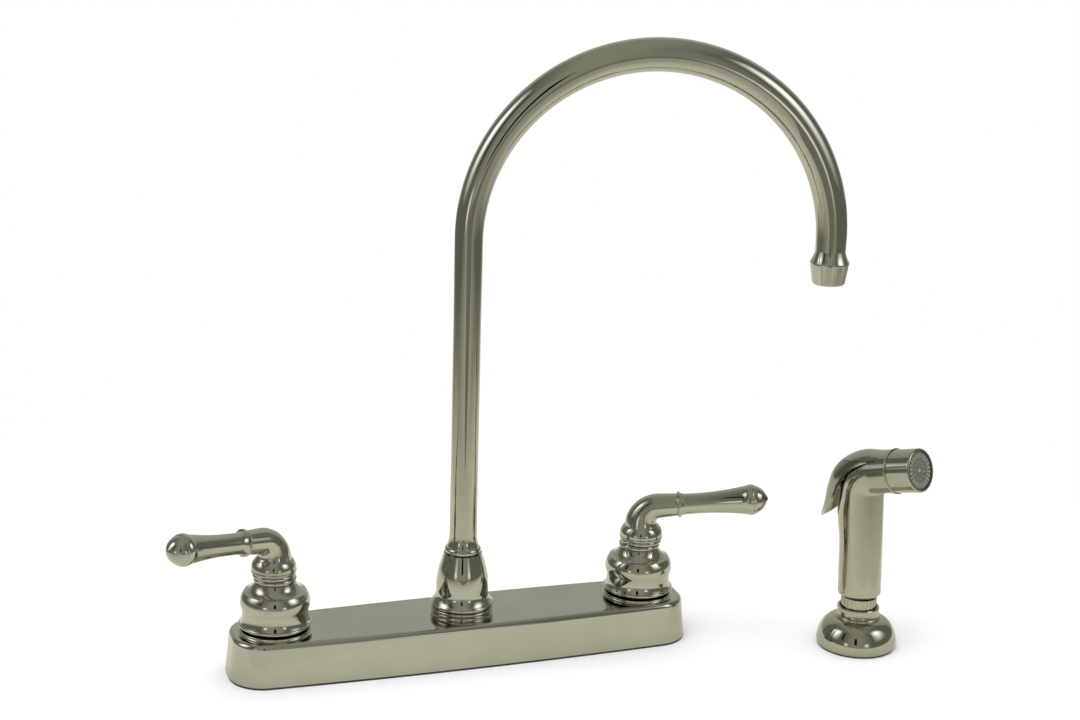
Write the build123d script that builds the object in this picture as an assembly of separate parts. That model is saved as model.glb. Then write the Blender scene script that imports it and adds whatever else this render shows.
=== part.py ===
from build123d import *
import math
import os

# Two handle kitchen faucet with a high gooseneck spout and a side spray, in millimetres.
# Origin: the spout's swivel axis where it meets the deck. +Z up, -Y towards the user,
# the hot handle on the -X side and the cold handle on the +X side.

# ---- driving sizes ---------------------------------------------------------------------
RUNNING = 0.05            # radial clearance of a shaft in its bearing
SNUG = 0.02               # radial clearance of pieces that are screwed or brazed together
FREE = 0.3                # clearance between pieces that pass each other

# deck cover
HUB_SPACING = 203.2       # between the handle axes, the eight inch standard
COVER_REACH = 23.6        # from a handle axis to the cover's end
COVER_HALF_WIDTH = 20.7   # at the ends
COVER_BOW = 3.3           # how much wider it is on each side at the middle
COVER_END_BOW = 1.5
COVER_CORNER = 17.0
COVER_TOP = 23.6
COVER_WALL = 2.0
COVER_EDGE = 2.8          # rounding of the top edge
FOOT_FLARE = 1.9
FOOT_RISE = 6.5
GASKET = 1.2
GASKET_LIP = 7.0
BOSS_RADIUS = 18.6
BOSS_RISE = 1.6

# valves
SHANK_RADIUS = 10.5       # half inch pipe thread
SHANK_BORE = 6.5
SHANK_DROP = 52.0
SHANK_FREE = 28.0         # threaded length left below the nut
RELIEF_DEPTH = 0.6        # thread relief above that length
RELIEF_WIDTH = 1.5
VALVE_RADIUS = 15.0
VALVE_FLOOR = 3.0
NECK_RADIUS = 12.0
NECK_TOP = 36.0
CARTRIDGE_RADIUS = 9.4
CARTRIDGE_FLOOR = 11.0
CARTRIDGE_CAVITY = 7.9
CARTRIDGE_CAVITY_TOP = 24.0
CARTRIDGE_HEAD = 4.0
DISC_RADIUS = 7.5
DISC_HEIGHT = 2.6
STEM_RADIUS = 4.0
STEM_TOP = 68.0
BONNET_ACROSS = 26.0
BONNET_HEIGHT = 8.0
NUT_ACROSS = 34.0
NUT_HEIGHT = 7.0
NUT_FLANGE = 21.0
DECK_THICKNESS = 12.0     # the deck that the nuts are drawn up against
WASHER_HEIGHT = 1.5

# waterways under the cover
PIPE_RADIUS = 4.75
PIPE_WALL = 0.9
PIPE_HEIGHT = 14.5
PIPE_SEAT = 6.0
SOCKET_RADIUS = 6.6
SOCKET_REACH = 7.0
CENTRE_RADIUS = 14.0
NIPPLE_RADIUS = 6.85
NIPPLE_BORE = 4.0
NIPPLE_DROP = 24.0

# spout post and swivel
POST_RADIUS = 9.0
POST_BORE = 5.4
POST_TOP = 51.5
BASE_RING_RADIUS = 16.9
BASE_RING_HEIGHT = 3.7
SWIVEL_WASHER = 0.3
SWIVEL_GAP = 0.1
O_RING = 1.0
O_RING_LEVELS = (38.5, 46.0)
CLIP_LEVEL = 33.0
CLIP_HEIGHT = 1.0
CLIP_RADIUS = 9.9
CLIP_DEPTH = 0.9

# spout
SPOUT_AZIMUTH = -10.8     # degrees from +X
SPOUT_RISE = 226.8        # where the arc starts
SPOUT_ARC = 95.8
SPOUT_FOOT = 7.3          # tube radius in the bulb
SPOUT_RISER = 7.2         # and on the straight riser
SPOUT_BEND_START = 7.35   # and where the arc starts
SPOUT_WIDEST = 8.8        # and at the widest place of the arc
SPOUT_WIDEST_AT = 120.0   # degrees round the arc
SPOUT_OUTLET = 8.1        # and where the arc ends
SPOUT_TAIL = 7.7          # and inside the outlet collar
SPOUT_WALL = 1.2
SPOUT_SECTIONS = 12
OUTLET_DROP = 5.8         # from the arc's end down to the collar's top
SPOUT_TAIL_DROP = 7.0     # from the collar's top to the tail's end inside it
BULB_TOP = 57.0
NECK_RING_HEIGHT = 3.4
NECK_RING_RADIUS = 9.75
SPOUT_SEAT = 53.0
AERATOR_SHOULDER_DROP = 6.0
AERATOR_LENGTH = 17.8
AERATOR_WIDE = 10.3
AERATOR_NARROW = 8.6
AERATOR_WALL = 1.1
AERATOR_FLATS = 10

# handles
BELL_BOTTOM = 26.9
BELL_TOP = 50.9
BELL_LIP = 18.6
HANDLE_SPIGOT = 9.0
NECK_TOP_LEVEL = 53.8
COLLAR_FORWARD = 0.8      # how far the collar leans towards the lever
COLLAR_RADIUS = 11.8
LEVER_FORWARD = 30.0      # how far each lever stands towards the user, in degrees
LEVER_RISE = 9.4          # its slope, in degrees
LEVER_CORNER = 73.4       # where its axis meets the hub axis
ELBOW_BEND = 11.5
RING_OUT = 21.2           # from the hub axis to the grip ring, in plan
RING_RADIUS = 7.3
RING_WIDTH = 1.3
GRIP_FOOT = 6.4           # outline of the grip from the ring: radius, or radius and distance
GRIP_THROAT = (5.85, 2.4)
GRIP_WAIST = (5.7, 5.0)
GRIP_MIDDLE = (5.9, 19.0)
GRIP_SHOULDER = (7.9, 37.0)
GRIP_BULGE = (8.35, 39.9)
GRIP_END = (7.6, 42.3)
GRIP_NOSE = (5.5, 45.1)
GRIP_NECK = (2.7, 46.9)
GRIP_BUTTON = (2.0, 48.1)
GRIP_TIP = (1.2, 48.6)
GRIP_SPIGOT = 3.5
GRIP_SPIGOT_DEPTH = 6.0
SET_SCREW = 2.1
SET_SCREW_LEVEL = 65.8
SET_SCREW_LENGTH = 4.6
SPLINE_LENGTH = 12.0

# diverter
SEAT_RADIUS = 6.4
SEAT_FLOOR = 5.0
SEAT_HEIGHT = 7.0
POPPET_RADIUS = 4.6
POPPET_STEM = 2.2
POPPET_HEAD = 3.0
POPPET_STEM_LENGTH = 12.0

# side spray
SPRAY_X = 213.9
SPRAY_Y = -48.0
SPRAY_AZIMUTH = -63.0
FLANGE_RADIUS = 21.8
GUIDE_CUP = 11.5
GUIDE_CUP_TOP = 23.2
GUIDE_BORE = 10.3
GUIDE_LEDGE = 12.5
GUIDE_SHANK = 12.3
GUIDE_SHANK_BORE = 8.2
GUIDE_DROP = 34.0
GUIDE_FREE = 13.0         # threaded length left below the nut
GUIDE_GASKET = 1.0
GUIDE_NUT_ACROSS = 38.0
GUIDE_NUT_HEIGHT = 6.0
COUPLING_RADIUS = 9.8
COUPLING_TOP = 28.8
COUPLING_FLUTES = 24
FLUTE_DEPTH = 0.6
TAIL_RADIUS = 6.3
TAIL_DROP = 16.0
TAIL_BORE = 3.5
SPIGOT_RADIUS = 7.0
SPIGOT_DEPTH = 9.0
SPRAY_BODY_BOTTOM = 29.0
SPRAY_LEAN = 2.7          # how far the handle leans back, in degrees
SPRAY_CORNER = 100.0      # where the nozzle's axis meets the guide's
NOZZLE_RISE = 15.6        # its slope, in degrees
SPRAY_BEND = 13.0
NOZZLE_RING_OUT = 18.8    # along the nozzle's axis, from the corner
NOZZLE_RING_RADIUS = 12.4
NOZZLE_RING_WIDTH = 1.3
NOZZLE_RADIUS = 11.8
NOZZLE_LENGTH = 15.3
NOZZLE_WALL = 1.6
FACE_DEPTH = 4.0
FACE_SLOTS = 24
FACE_RECESS = 0.8

# head of the spray and its trigger, in the plane of the spray: out along the nozzle, and up
SPRAY_GIRTH = 11.8
SPRAY_BULGE = ((0.0, 62.0, 11.4), (1.6, 69.0, 11.3), (2.4, 76.0, 11.1), (2.6, 83.0, 10.9))
HEAD_GIRTH = 11.7
TRIGGER_SPINE = ((-18.9, 64.4, 24), (-15.2, 75.7, 20), (-12.6, 85.4, 20), (-8.7, 94.4, 35),
                 (-0.4, 100.2, 62), (9.5, 102.2, 74), (16.0, 104.0, 74))
TRIGGER_GIRTH = (9.4, 10.4, 11.4, 12.1, 12.4, 12.4, 12.0)
TRIGGER_THICK = 1.2
TRIGGER_TRAVEL = 8.0
TRIGGER_FRONT = (8.5, 109.8)
TRIGGER_CHEEK = (-7.6, 98.6)
TRIGGER_BACK = (-15.0, 104.6)
TRIGGER_WAIST = (-14.5, 85.0)
TRIGGER_EDGE = (-20.5, 76.0)
TRIGGER_TIP = (-27.2, 68.4)
PIVOT = (7.0, 108.0)
PIVOT_PIN = 1.3
LUG_RADIUS = 2.8
LUG_WIDTH = 4.0
WEB_HEIGHT = 3.0
PIN_LENGTH = 14.0
PLUNGER_RADIUS = 2.0
PLUNGER_LEVEL = 88.0
PLUNGER_TIP = -21.7
PLUNGER_LENGTH = 14.0

# ---- values that follow from them ---------------------------------------------------------
hub_x = HUB_SPACING / 2
cover_half_length = hub_x + COVER_REACH
ceiling = COVER_TOP - COVER_WALL
boss_top = COVER_TOP + BOSS_RISE
ring_top = COVER_TOP + BASE_RING_HEIGHT
bulb_bottom = ring_top + SWIVEL_WASHER + SWIVEL_GAP
neck_ring_top = BULB_TOP + NECK_RING_HEIGHT
aerator_top = SPOUT_RISE - OUTLET_DROP
aerator_shoulder = aerator_top - AERATOR_SHOULDER_DROP
aerator_bottom = aerator_top - AERATOR_LENGTH
spout_end = aerator_top - SPOUT_TAIL_DROP
gauge = CARTRIDGE_RADIUS + RUNNING


# ---- helpers -------------------------------------------------------------------------------
def profile(start, *steps):
    """A closed face in the XZ plane: each step is a point, or an arc as (through, end)."""
    edges = []
    here = start
    for step in steps:
        if isinstance(step[0], tuple):
            edges.append(ThreePointArc(upright(here), upright(step[0]), upright(step[1])))
            here = step[1]
        else:
            edges.append(Line(upright(here), upright(step)))
            here = step
    edges.append(Line(upright(here), upright(start)))
    return make_face(edges)


def upright(point):
    return Vector(point[0], 0, point[1])


def turned(start, *steps):
    """The profile turned about the Z axis."""
    return revolve(profile(start, *steps), axis=Axis.Z)


def cylinder(radius, low, high):
    return Pos(0, 0, low) * Cylinder(radius, high - low, align=(Align.CENTER, Align.CENTER, Align.MIN))


def tube(outer, inner, low, high):
    return cylinder(outer, low, high) - cylinder(inner, low, high)


def hexagon(across, low, high):
    corner = across / math.sqrt(3)
    return extrude(Pos(0, 0, low) * RegularPolygon(corner, 6), high - low)


def section(out, up, lean, radius):
    """A round section of a bent tube: its centre in the XZ plane and its lean from upright."""
    lean = math.radians(lean)
    plane = Plane((out, 0, up), x_dir=(0, 1, 0), z_dir=(math.sin(lean), 0, math.cos(lean)))
    return plane * Circle(radius)


def along(out, up, lean):
    """The frame whose Z runs along a leaning axis from a point of the XZ plane."""
    lean = math.radians(lean)
    return Plane((out, 0, up), x_dir=(0, 1, 0), z_dir=(math.sin(lean), 0, math.cos(lean))).location


def at_hub(side, piece):
    return Pos(side * hub_x, 0, 0) * piece


def at_spray(piece):
    return Pos(SPRAY_X, SPRAY_Y, 0) * Rot(0, 0, SPRAY_AZIMUTH) * piece


# ---- deck cover -------------------------------------------------------------------------------
def cover_outline(grow, level):
    """The cover's plan: bowed sides, slightly bowed ends and round corners."""
    x = cover_half_length - COVER_END_BOW + grow
    y = COVER_HALF_WIDTH + grow
    front = ThreePointArc((-x, -y), (0, -y - COVER_BOW), (x, -y))
    right = ThreePointArc((x, -y), (x + COVER_END_BOW, 0), (x, y))
    back = ThreePointArc((x, y), (0, y + COVER_BOW), (-x, y))
    left = ThreePointArc((-x, y), (-x - COVER_END_BOW, 0), (-x, -y))
    plan = make_face([front, right, back, left])
    return Pos(0, 0, level) * fillet(plan.vertices(), COVER_CORNER + grow)


def deck_cover():
    wall = extrude(cover_outline(0, GASKET), COVER_TOP - GASKET)
    wall = fillet(wall.faces().sort_by(Axis.Z)[-1].edges(), COVER_EDGE)
    foot = loft([
        cover_outline(FOOT_FLARE, GASKET),
        cover_outline(FOOT_FLARE * 0.85, GASKET + FOOT_RISE * 0.2),
        cover_outline(FOOT_FLARE * 0.22, GASKET + FOOT_RISE * 0.62),
        cover_outline(0, GASKET + FOOT_RISE),
    ])
    shell = wall + foot
    shell -= extrude(cover_outline(-COVER_WALL, GASKET), ceiling - GASKET)
    for side in (-1, 1):
        shell += at_hub(side, cylinder(BOSS_RADIUS, ceiling, boss_top))
        shell -= at_hub(side, cylinder(NECK_RADIUS + FREE, ceiling - 1, boss_top + 1))
    return shell - cylinder(POST_RADIUS + FREE, ceiling - 1, COVER_TOP + 1)


def deck_gasket():
    pad = extrude(cover_outline(FOOT_FLARE - 0.3, 0), GASKET)
    return pad - extrude(cover_outline(-GASKET_LIP, -1), GASKET + 2)


# ---- valves --------------------------------------------------------------------------------------
def valve_body(side):
    """Brass body: threaded shank, chamber for the cartridge and a socket for the pipe."""
    body = cylinder(SHANK_RADIUS, -SHANK_DROP, VALVE_FLOOR)
    body += cylinder(VALVE_RADIUS, VALVE_FLOOR, ceiling)
    body += cylinder(NECK_RADIUS, ceiling, NECK_TOP)
    reach = VALVE_RADIUS + SOCKET_REACH
    inward = Pos(0, 0, PIPE_HEIGHT) * Rot(0, -90 * side, 0)
    body += inward * cylinder(SOCKET_RADIUS, 0, reach)
    relief = SHANK_FREE - SHANK_DROP
    body -= tube(SHANK_RADIUS + 1, SHANK_RADIUS - RELIEF_DEPTH, relief, relief + RELIEF_WIDTH)
    body -= cylinder(SHANK_BORE, -SHANK_DROP - 1, CARTRIDGE_FLOOR)
    body -= cylinder(gauge, CARTRIDGE_FLOOR, NECK_TOP + 1)
    body -= inward * cylinder(PIPE_RADIUS - PIPE_WALL, 0, reach)
    body -= inward * cylinder(PIPE_RADIUS + SNUG, reach - PIPE_SEAT, reach + 1)
    return at_hub(side, body)


def cartridge(side):
    """Cartridge housing: open below for the discs, bored above for the stem."""
    head = NECK_RADIUS - 0.6
    body = cylinder(CARTRIDGE_RADIUS, CARTRIDGE_FLOOR, NECK_TOP)
    body += cylinder(head, NECK_TOP, NECK_TOP + CARTRIDGE_HEAD)
    body -= cylinder(CARTRIDGE_CAVITY, CARTRIDGE_FLOOR - 1, CARTRIDGE_CAVITY_TOP)
    body -= cylinder(STEM_RADIUS + RUNNING, CARTRIDGE_CAVITY_TOP, NECK_TOP + CARTRIDGE_HEAD + 1)
    window = Pos(0, 0, CARTRIDGE_CAVITY_TOP - 4) * Rot(0, 90, 0) * Cylinder(2.5, 2 * CARTRIDGE_RADIUS + 2)
    return at_hub(side, body - window)


def disc(radius, low, ports):
    """Ceramic disc with two sector ports."""
    plate = cylinder(radius, low, low + DISC_HEIGHT)
    for turn in ports:
        plate -= Rot(0, 0, turn) * Pos(radius * 0.55, 0, low) * Cylinder(radius * 0.27, 3 * DISC_HEIGHT)
    return plate


fixed_disc_low = CARTRIDGE_FLOOR + 1.5
moving_disc_low = fixed_disc_low + DISC_HEIGHT + RUNNING
carrier_low = moving_disc_low + DISC_HEIGHT


def seat_seal(side):
    return at_hub(side, tube(CARTRIDGE_CAVITY - RUNNING, SHANK_BORE - 0.5, CARTRIDGE_FLOOR, fixed_disc_low))


def valve_stem(side):
    """Stem with its disc carrier below and a splined top."""
    stem = cylinder(DISC_RADIUS, carrier_low, CARTRIDGE_CAVITY_TOP - 0.4)
    stem += cylinder(STEM_RADIUS, CARTRIDGE_CAVITY_TOP - 0.4, STEM_TOP)
    for number in range(12):
        groove = Pos(STEM_RADIUS, 0, STEM_TOP) * Box(0.6, 0.8, 2 * SPLINE_LENGTH)
        stem -= Rot(0, 0, 30 * number) * groove
    return at_hub(side, stem)


def bonnet_nut(side):
    nut = hexagon(BONNET_ACROSS, boss_top, boss_top + BONNET_HEIGHT)
    nut &= turned((0, boss_top), (BONNET_ACROSS / 2 + 1.6, boss_top),
                  (BONNET_ACROSS / 2 + 1.6, boss_top + BONNET_HEIGHT - 1),
                  (BONNET_ACROSS / 2 - 0.4, boss_top + BONNET_HEIGHT), (0, boss_top + BONNET_HEIGHT))
    return at_hub(side, nut - cylinder(NECK_RADIUS + SNUG, boss_top - 1, boss_top + BONNET_HEIGHT + 1))


def wing_nut():
    """Flanged plastic nut with four wings, on a shank under the deck."""
    top = -DECK_THICKNESS - WASHER_HEIGHT
    nut = cylinder(NUT_ACROSS / 2 - 2, top - NUT_HEIGHT, top)
    nut += cylinder(NUT_FLANGE, top - 2, top)
    for quarter in range(4):
        wing = Pos(NUT_ACROSS / 2, 0, top - NUT_HEIGHT / 2) * Box(9, 3, NUT_HEIGHT)
        nut += Rot(0, 0, 45 + 90 * quarter) * wing
    return nut


def mounting_nuts():
    nut = wing_nut() - cylinder(SHANK_RADIUS + SNUG, -2 * SHANK_DROP, 0)
    return Compound(children=[at_hub(side, nut) for side in (-1, 1)])


def mounting_washers():
    washer = tube(NUT_FLANGE + 1, SHANK_RADIUS + FREE, -DECK_THICKNESS - WASHER_HEIGHT, -DECK_THICKNESS)
    return Compound(children=[at_hub(side, washer) for side in (-1, 1)])


# ---- waterways and spout post -------------------------------------------------------------------------
def crossover_pipe(side):
    outer = hub_x - VALVE_RADIUS - SOCKET_REACH + PIPE_SEAT
    inner = CENTRE_RADIUS + SOCKET_REACH - PIPE_SEAT
    pipe = tube(PIPE_RADIUS, PIPE_RADIUS - PIPE_WALL, inner, outer)
    return Pos(0, 0, PIPE_HEIGHT) * Rot(0, 90 * side, 0) * pipe


def centre_body():
    """Brass body under the spout: pipe sockets, spray outlet below and the swivel post above."""
    body = cylinder(CENTRE_RADIUS, VALVE_FLOOR, ceiling)
    body += cylinder(NIPPLE_RADIUS, -NIPPLE_DROP, VALVE_FLOOR)
    body += cylinder(POST_RADIUS, ceiling, POST_TOP)
    reach = CENTRE_RADIUS + SOCKET_REACH
    body += Pos(0, 0, PIPE_HEIGHT) * Rot(0, 90, 0) * cylinder(SOCKET_RADIUS, -reach, reach)
    body -= cylinder(NIPPLE_BORE, -NIPPLE_DROP - 1, SEAT_FLOOR)
    body -= cylinder(SEAT_RADIUS + SNUG, SEAT_FLOOR, ceiling)
    body -= cylinder(POST_BORE, ceiling, POST_TOP + 1)
    for side in (-1, 1):
        inward = Pos(0, 0, PIPE_HEIGHT) * Rot(0, 90 * side, 0)
        body -= inward * cylinder(PIPE_RADIUS - PIPE_WALL, 0, reach)
        body -= inward * cylinder(PIPE_RADIUS + SNUG, reach - PIPE_SEAT, reach + 1)
    groove_floor = POST_RADIUS - RUNNING - 2 * O_RING
    for level in O_RING_LEVELS:
        body -= tube(POST_RADIUS + 1, groove_floor, level - O_RING - 0.1, level + O_RING + 0.1)
    body -= tube(POST_RADIUS + 1, POST_RADIUS - CLIP_DEPTH,
                 CLIP_LEVEL - 0.05, CLIP_LEVEL + CLIP_HEIGHT + 0.05)
    return body


def spout_o_rings():
    ring = Torus(POST_RADIUS - RUNNING - O_RING, O_RING)
    return Compound(children=[Pos(0, 0, level) * ring for level in O_RING_LEVELS])


def spout_clip():
    """Split ring that keeps the spout on its post."""
    ring = tube(CLIP_RADIUS, POST_RADIUS - CLIP_DEPTH + SNUG, CLIP_LEVEL, CLIP_LEVEL + CLIP_HEIGHT)
    return ring - Pos(CLIP_RADIUS, 0, CLIP_LEVEL) * Box(CLIP_RADIUS, 3, 4)


def diverter_seat():
    seat = cylinder(SEAT_RADIUS, SEAT_FLOOR, SEAT_FLOOR + SEAT_HEIGHT)
    return seat - cylinder(POPPET_STEM + 1.4, SEAT_FLOOR - 1, SEAT_FLOOR + SEAT_HEIGHT + 1)


def diverter_poppet():
    """Poppet that rests on its seat and lifts when the spray is shut."""
    low = SEAT_FLOOR + SEAT_HEIGHT
    head = turned((0, low), (POPPET_RADIUS - 0.8, low), (POPPET_RADIUS, low + 0.8),
                  (POPPET_RADIUS, low + POPPET_HEAD), (0, low + POPPET_HEAD))
    return head + cylinder(POPPET_STEM, low - SEAT_HEIGHT + 1, low + POPPET_STEM_LENGTH)


# ---- spout ----------------------------------------------------------------------------------------------
def spout_base_ring():
    top = ring_top
    hole = POST_RADIUS + FREE - 0.1
    return turned((hole, COVER_TOP), (BASE_RING_RADIUS - 0.3, COVER_TOP),
                  ((BASE_RING_RADIUS - 0.6, COVER_TOP + 1.6), (BASE_RING_RADIUS, top - 0.9)),
                  ((BASE_RING_RADIUS - 0.2, top - 0.25), (BASE_RING_RADIUS - 0.9, top)), (hole, top))


def swivel_washer():
    return tube(BASE_RING_RADIUS - 1.4, POST_RADIUS + FREE - 0.1, ring_top, ring_top + SWIVEL_WASHER)


def spout_bulb():
    """Pear-shaped nut that carries the spout on the post."""
    low = bulb_bottom
    body = turned((POST_RADIUS + RUNNING, low), (BASE_RING_RADIUS - 0.5, low),
                  ((BASE_RING_RADIUS, low + 1.0), (BASE_RING_RADIUS - 0.5, low + 2.2)),
                  ((15.0, low + 4.1), (13.95, low + 8.2)),
                  ((13.85, low + 14.2), (12.5, low + 21.6)),
                  (10.2, BULB_TOP), (SPOUT_FOOT + SNUG, BULB_TOP), (SPOUT_FOOT + SNUG, SPOUT_SEAT),
                  (POST_BORE + 1.0, SPOUT_SEAT), (POST_BORE + 1.0, POST_TOP + 0.5),
                  (POST_RADIUS + RUNNING, POST_TOP + 0.5))
    return body - cylinder(CLIP_RADIUS + FREE, CLIP_LEVEL - FREE, CLIP_LEVEL + CLIP_HEIGHT + FREE)


def neck_ring():
    low = BULB_TOP
    high = neck_ring_top
    return turned((SPOUT_FOOT + SNUG, low), (NECK_RING_RADIUS - 0.9, low),
                  ((NECK_RING_RADIUS, (low + high) / 2), (NECK_RING_RADIUS - 0.9, high)),
                  (SPOUT_FOOT + SNUG, high))


def bend_radius(turn):
    """The tube's radius round the arc: it swells from the riser and draws in to the outlet."""
    if turn <= SPOUT_WIDEST_AT:
        share = math.sin(math.radians(90 * turn / SPOUT_WIDEST_AT))
        return SPOUT_BEND_START + (SPOUT_WIDEST - SPOUT_BEND_START) * share
    share = (turn - SPOUT_WIDEST_AT) / (180 - SPOUT_WIDEST_AT)
    return SPOUT_WIDEST - (SPOUT_WIDEST - SPOUT_OUTLET) * share ** 2


def gooseneck(shrink):
    """The arc of the spout as a solid, its radius drawn in by shrink."""
    sections = []
    for number in range(SPOUT_SECTIONS + 1):
        turn = 180 / SPOUT_SECTIONS * number
        angle = math.radians(turn)
        out = SPOUT_ARC * (1 - math.cos(angle))
        up = SPOUT_RISE + SPOUT_ARC * math.sin(angle)
        sections.append(section(out, up, turn, bend_radius(turn) - shrink))
    return loft(sections)


def spout_tube():
    """Riser with a flared foot, the arc, and a plain tail for the outlet collar."""
    low = neck_ring_top
    riser = turned((0, SPOUT_SEAT), (SPOUT_FOOT, SPOUT_SEAT), (SPOUT_FOOT, low),
                   (NECK_RING_RADIUS - 1.0, low), ((7.85, low + 2.8), (SPOUT_FOOT + 0.05, low + 7.6)),
                   (SPOUT_RISER, low + 50), (SPOUT_RISER, SPOUT_RISE - 40), (SPOUT_BEND_START, SPOUT_RISE),
                   (0, SPOUT_RISE))
    outlet = turned((0, spout_end), (SPOUT_TAIL, spout_end), (SPOUT_TAIL, aerator_top),
                    (SPOUT_OUTLET - 0.1, aerator_top), (SPOUT_OUTLET, SPOUT_RISE), (0, SPOUT_RISE))
    body = riser + gooseneck(0) + Pos(2 * SPOUT_ARC, 0, 0) * outlet
    body -= gooseneck(SPOUT_WALL)
    body -= cylinder(SPOUT_RISER - SPOUT_WALL, SPOUT_SEAT - 1, SPOUT_RISE + 0.01)
    body -= Pos(2 * SPOUT_ARC, 0, 0) * cylinder(SPOUT_TAIL - SPOUT_WALL, spout_end - 1, SPOUT_RISE + 0.01)
    return Rot(0, 0, SPOUT_AZIMUTH) * body


def at_outlet(piece):
    return Rot(0, 0, SPOUT_AZIMUTH) * Pos(2 * SPOUT_ARC, 0, 0) * piece


def aerator_shell():
    """Outlet collar: a flared top, flats round the side and an open bottom."""
    inside = SPOUT_TAIL + SNUG
    shell = turned((inside + 0.12, aerator_top),
                   ((8.6, aerator_top - 2.6), (AERATOR_WIDE, aerator_shoulder)),
                   (AERATOR_WIDE, aerator_shoulder - 1.5), (AERATOR_NARROW, aerator_bottom + 0.5),
                   (AERATOR_NARROW - 0.5, aerator_bottom), (AERATOR_NARROW - AERATOR_WALL, aerator_bottom),
                   (inside, spout_end), (inside, spout_end + 1))
    taper = math.degrees(math.atan((AERATOR_WIDE - AERATOR_NARROW) / (aerator_shoulder - aerator_bottom)))
    for number in range(AERATOR_FLATS):
        flat = Pos(AERATOR_WIDE - 0.35 + 5, 0, aerator_shoulder - 1.0) * Rot(0, taper, 0)
        cutter = flat * Box(10, 8, 30, align=(Align.CENTER, Align.CENTER, Align.MAX))
        shell -= Rot(0, 0, 360 / AERATOR_FLATS * number) * cutter
    return at_outlet(shell)


def aerator_insert():
    """Perforated plate inside the collar."""
    radius = AERATOR_NARROW - AERATOR_WALL - 0.1
    plate = cylinder(radius, aerator_bottom + 0.8, aerator_bottom + 5)
    plate -= cylinder(radius - 1, aerator_bottom + 2.2, aerator_bottom + 6)
    for ring_radius, count in ((2.4, 6), (4.9, 12)):
        for number in range(count):
            hole = Pos(ring_radius, 0, aerator_bottom) * Cylinder(0.75, 6)
            plate -= Rot(0, 0, 360 / count * number) * hole
    return at_outlet(plate)


def aerator_washer():
    return at_outlet(tube(7.5, 5.6, aerator_bottom + 5, spout_end))


# ---- handles, built with the lever along +X and then turned --------------------------------------------
ring_slant = math.radians(LEVER_RISE)
ring_along = RING_OUT / math.cos(ring_slant)


def place_handle(side, piece):
    azimuth = -LEVER_FORWARD if side > 0 else 180 + LEVER_FORWARD
    return at_hub(side, Rot(0, 0, azimuth) * piece)


def lever_frame(distance):
    """The frame on the lever's axis, at a distance from the hub axis along the lever."""
    return along(distance * math.cos(ring_slant), LEVER_CORNER + distance * math.sin(ring_slant),
                 90 - LEVER_RISE)


def bell(side):
    """Bell-shaped skirt that turns with the handle."""
    low = BELL_BOTTOM
    body = turned((17.2, low), (BELL_LIP, low), ((BELL_LIP + 0.5, low + 0.9), (BELL_LIP - 0.25, low + 1.9)),
                  ((17.3, low + 5.2), (17.7, low + 9.8)), ((18.1, low + 14.3), (16.5, low + 18.9)),
                  ((14.4, low + 21.6), (11.3, BELL_TOP - 0.5)), (10.9, BELL_TOP),
                  (HANDLE_SPIGOT + SNUG, BELL_TOP), (HANDLE_SPIGOT + SNUG, low + 21.5), (12.0, low + 19.2),
                  (15.2, low + 15.6), (15.2, low + 3.4))
    return place_handle(side, body)


def elbow(side):
    """Cast elbow: a spigot in the bell, a ringed collar and the bend up to the grip."""
    base = BELL_TOP
    neck = NECK_TOP_LEVEL
    turn_end = 90 - LEVER_RISE
    bend_out = ELBOW_BEND * math.tan(math.radians(turn_end / 2))
    start = LEVER_CORNER - bend_out
    foot = turned((0, base - 5), (HANDLE_SPIGOT, base - 5), (HANDLE_SPIGOT, base), (10.1, base),
                  ((10.8, base + 0.7), (10.1, base + 1.4)), ((10.8, base + 2.1), (10.1, neck)), (0, neck))
    collar = turned((0, neck), (10.6, neck), ((11.3, neck + 1.1), (10.8, neck + 2.2)),
                    (11.2, neck + 2.3), ((COLLAR_RADIUS, neck + 2.9), (COLLAR_RADIUS - 0.1, neck + 3.9)),
                    ((10.3, neck + 6.4), (9.3, start)), (0, start))
    sections = []
    for number, radius in enumerate((9.3, 8.5, 7.7, 7.1, 6.8)):
        turn = turn_end / 4 * number
        angle = math.radians(turn)
        forward = COLLAR_FORWARD * (1 - number / 4)
        sections.append(section(ELBOW_BEND * (1 - math.cos(angle)) + forward,
                                start + ELBOW_BEND * math.sin(angle), turn, radius))
    bend = loft(sections)
    reach = ring_along - RING_WIDTH / 2 - bend_out
    arm = lever_frame(bend_out) * Cone(6.8, 6.2, reach, align=(Align.CENTER, Align.CENTER, Align.MIN))
    body = foot + Pos(COLLAR_FORWARD, 0, 0) * collar + bend + arm
    body -= cylinder(STEM_RADIUS + RUNNING, base - 8, STEM_TOP + 0.5)
    body -= lever_frame(ring_along - GRIP_SPIGOT_DEPTH) * cylinder(GRIP_SPIGOT + SNUG, 0, 20)
    hole = Pos(0, 0, SET_SCREW_LEVEL) * Rot(0, 90, 0) * cylinder(SET_SCREW + SNUG, 0, 11)
    return place_handle(side, body - hole)


def set_screw(side):
    """Screw under the lever that holds the handle on its stem."""
    tip = STEM_RADIUS + RUNNING
    socket = extrude(Pos(0, 0, SET_SCREW_LENGTH - 2) * RegularPolygon(1.2, 6), 3)
    screw = cylinder(SET_SCREW, 0, SET_SCREW_LENGTH) - socket
    return place_handle(side, Pos(tip, 0, SET_SCREW_LEVEL) * Rot(0, 90, 0) * screw)


def grip_ring(side):
    half = RING_WIDTH / 2
    bead = turned((GRIP_SPIGOT + SNUG, -half), (RING_RADIUS - 0.5, -half),
                  ((RING_RADIUS, 0), (RING_RADIUS - 0.5, half)), (GRIP_SPIGOT + SNUG, half))
    return place_handle(side, lever_frame(ring_along) * bead)


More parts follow.
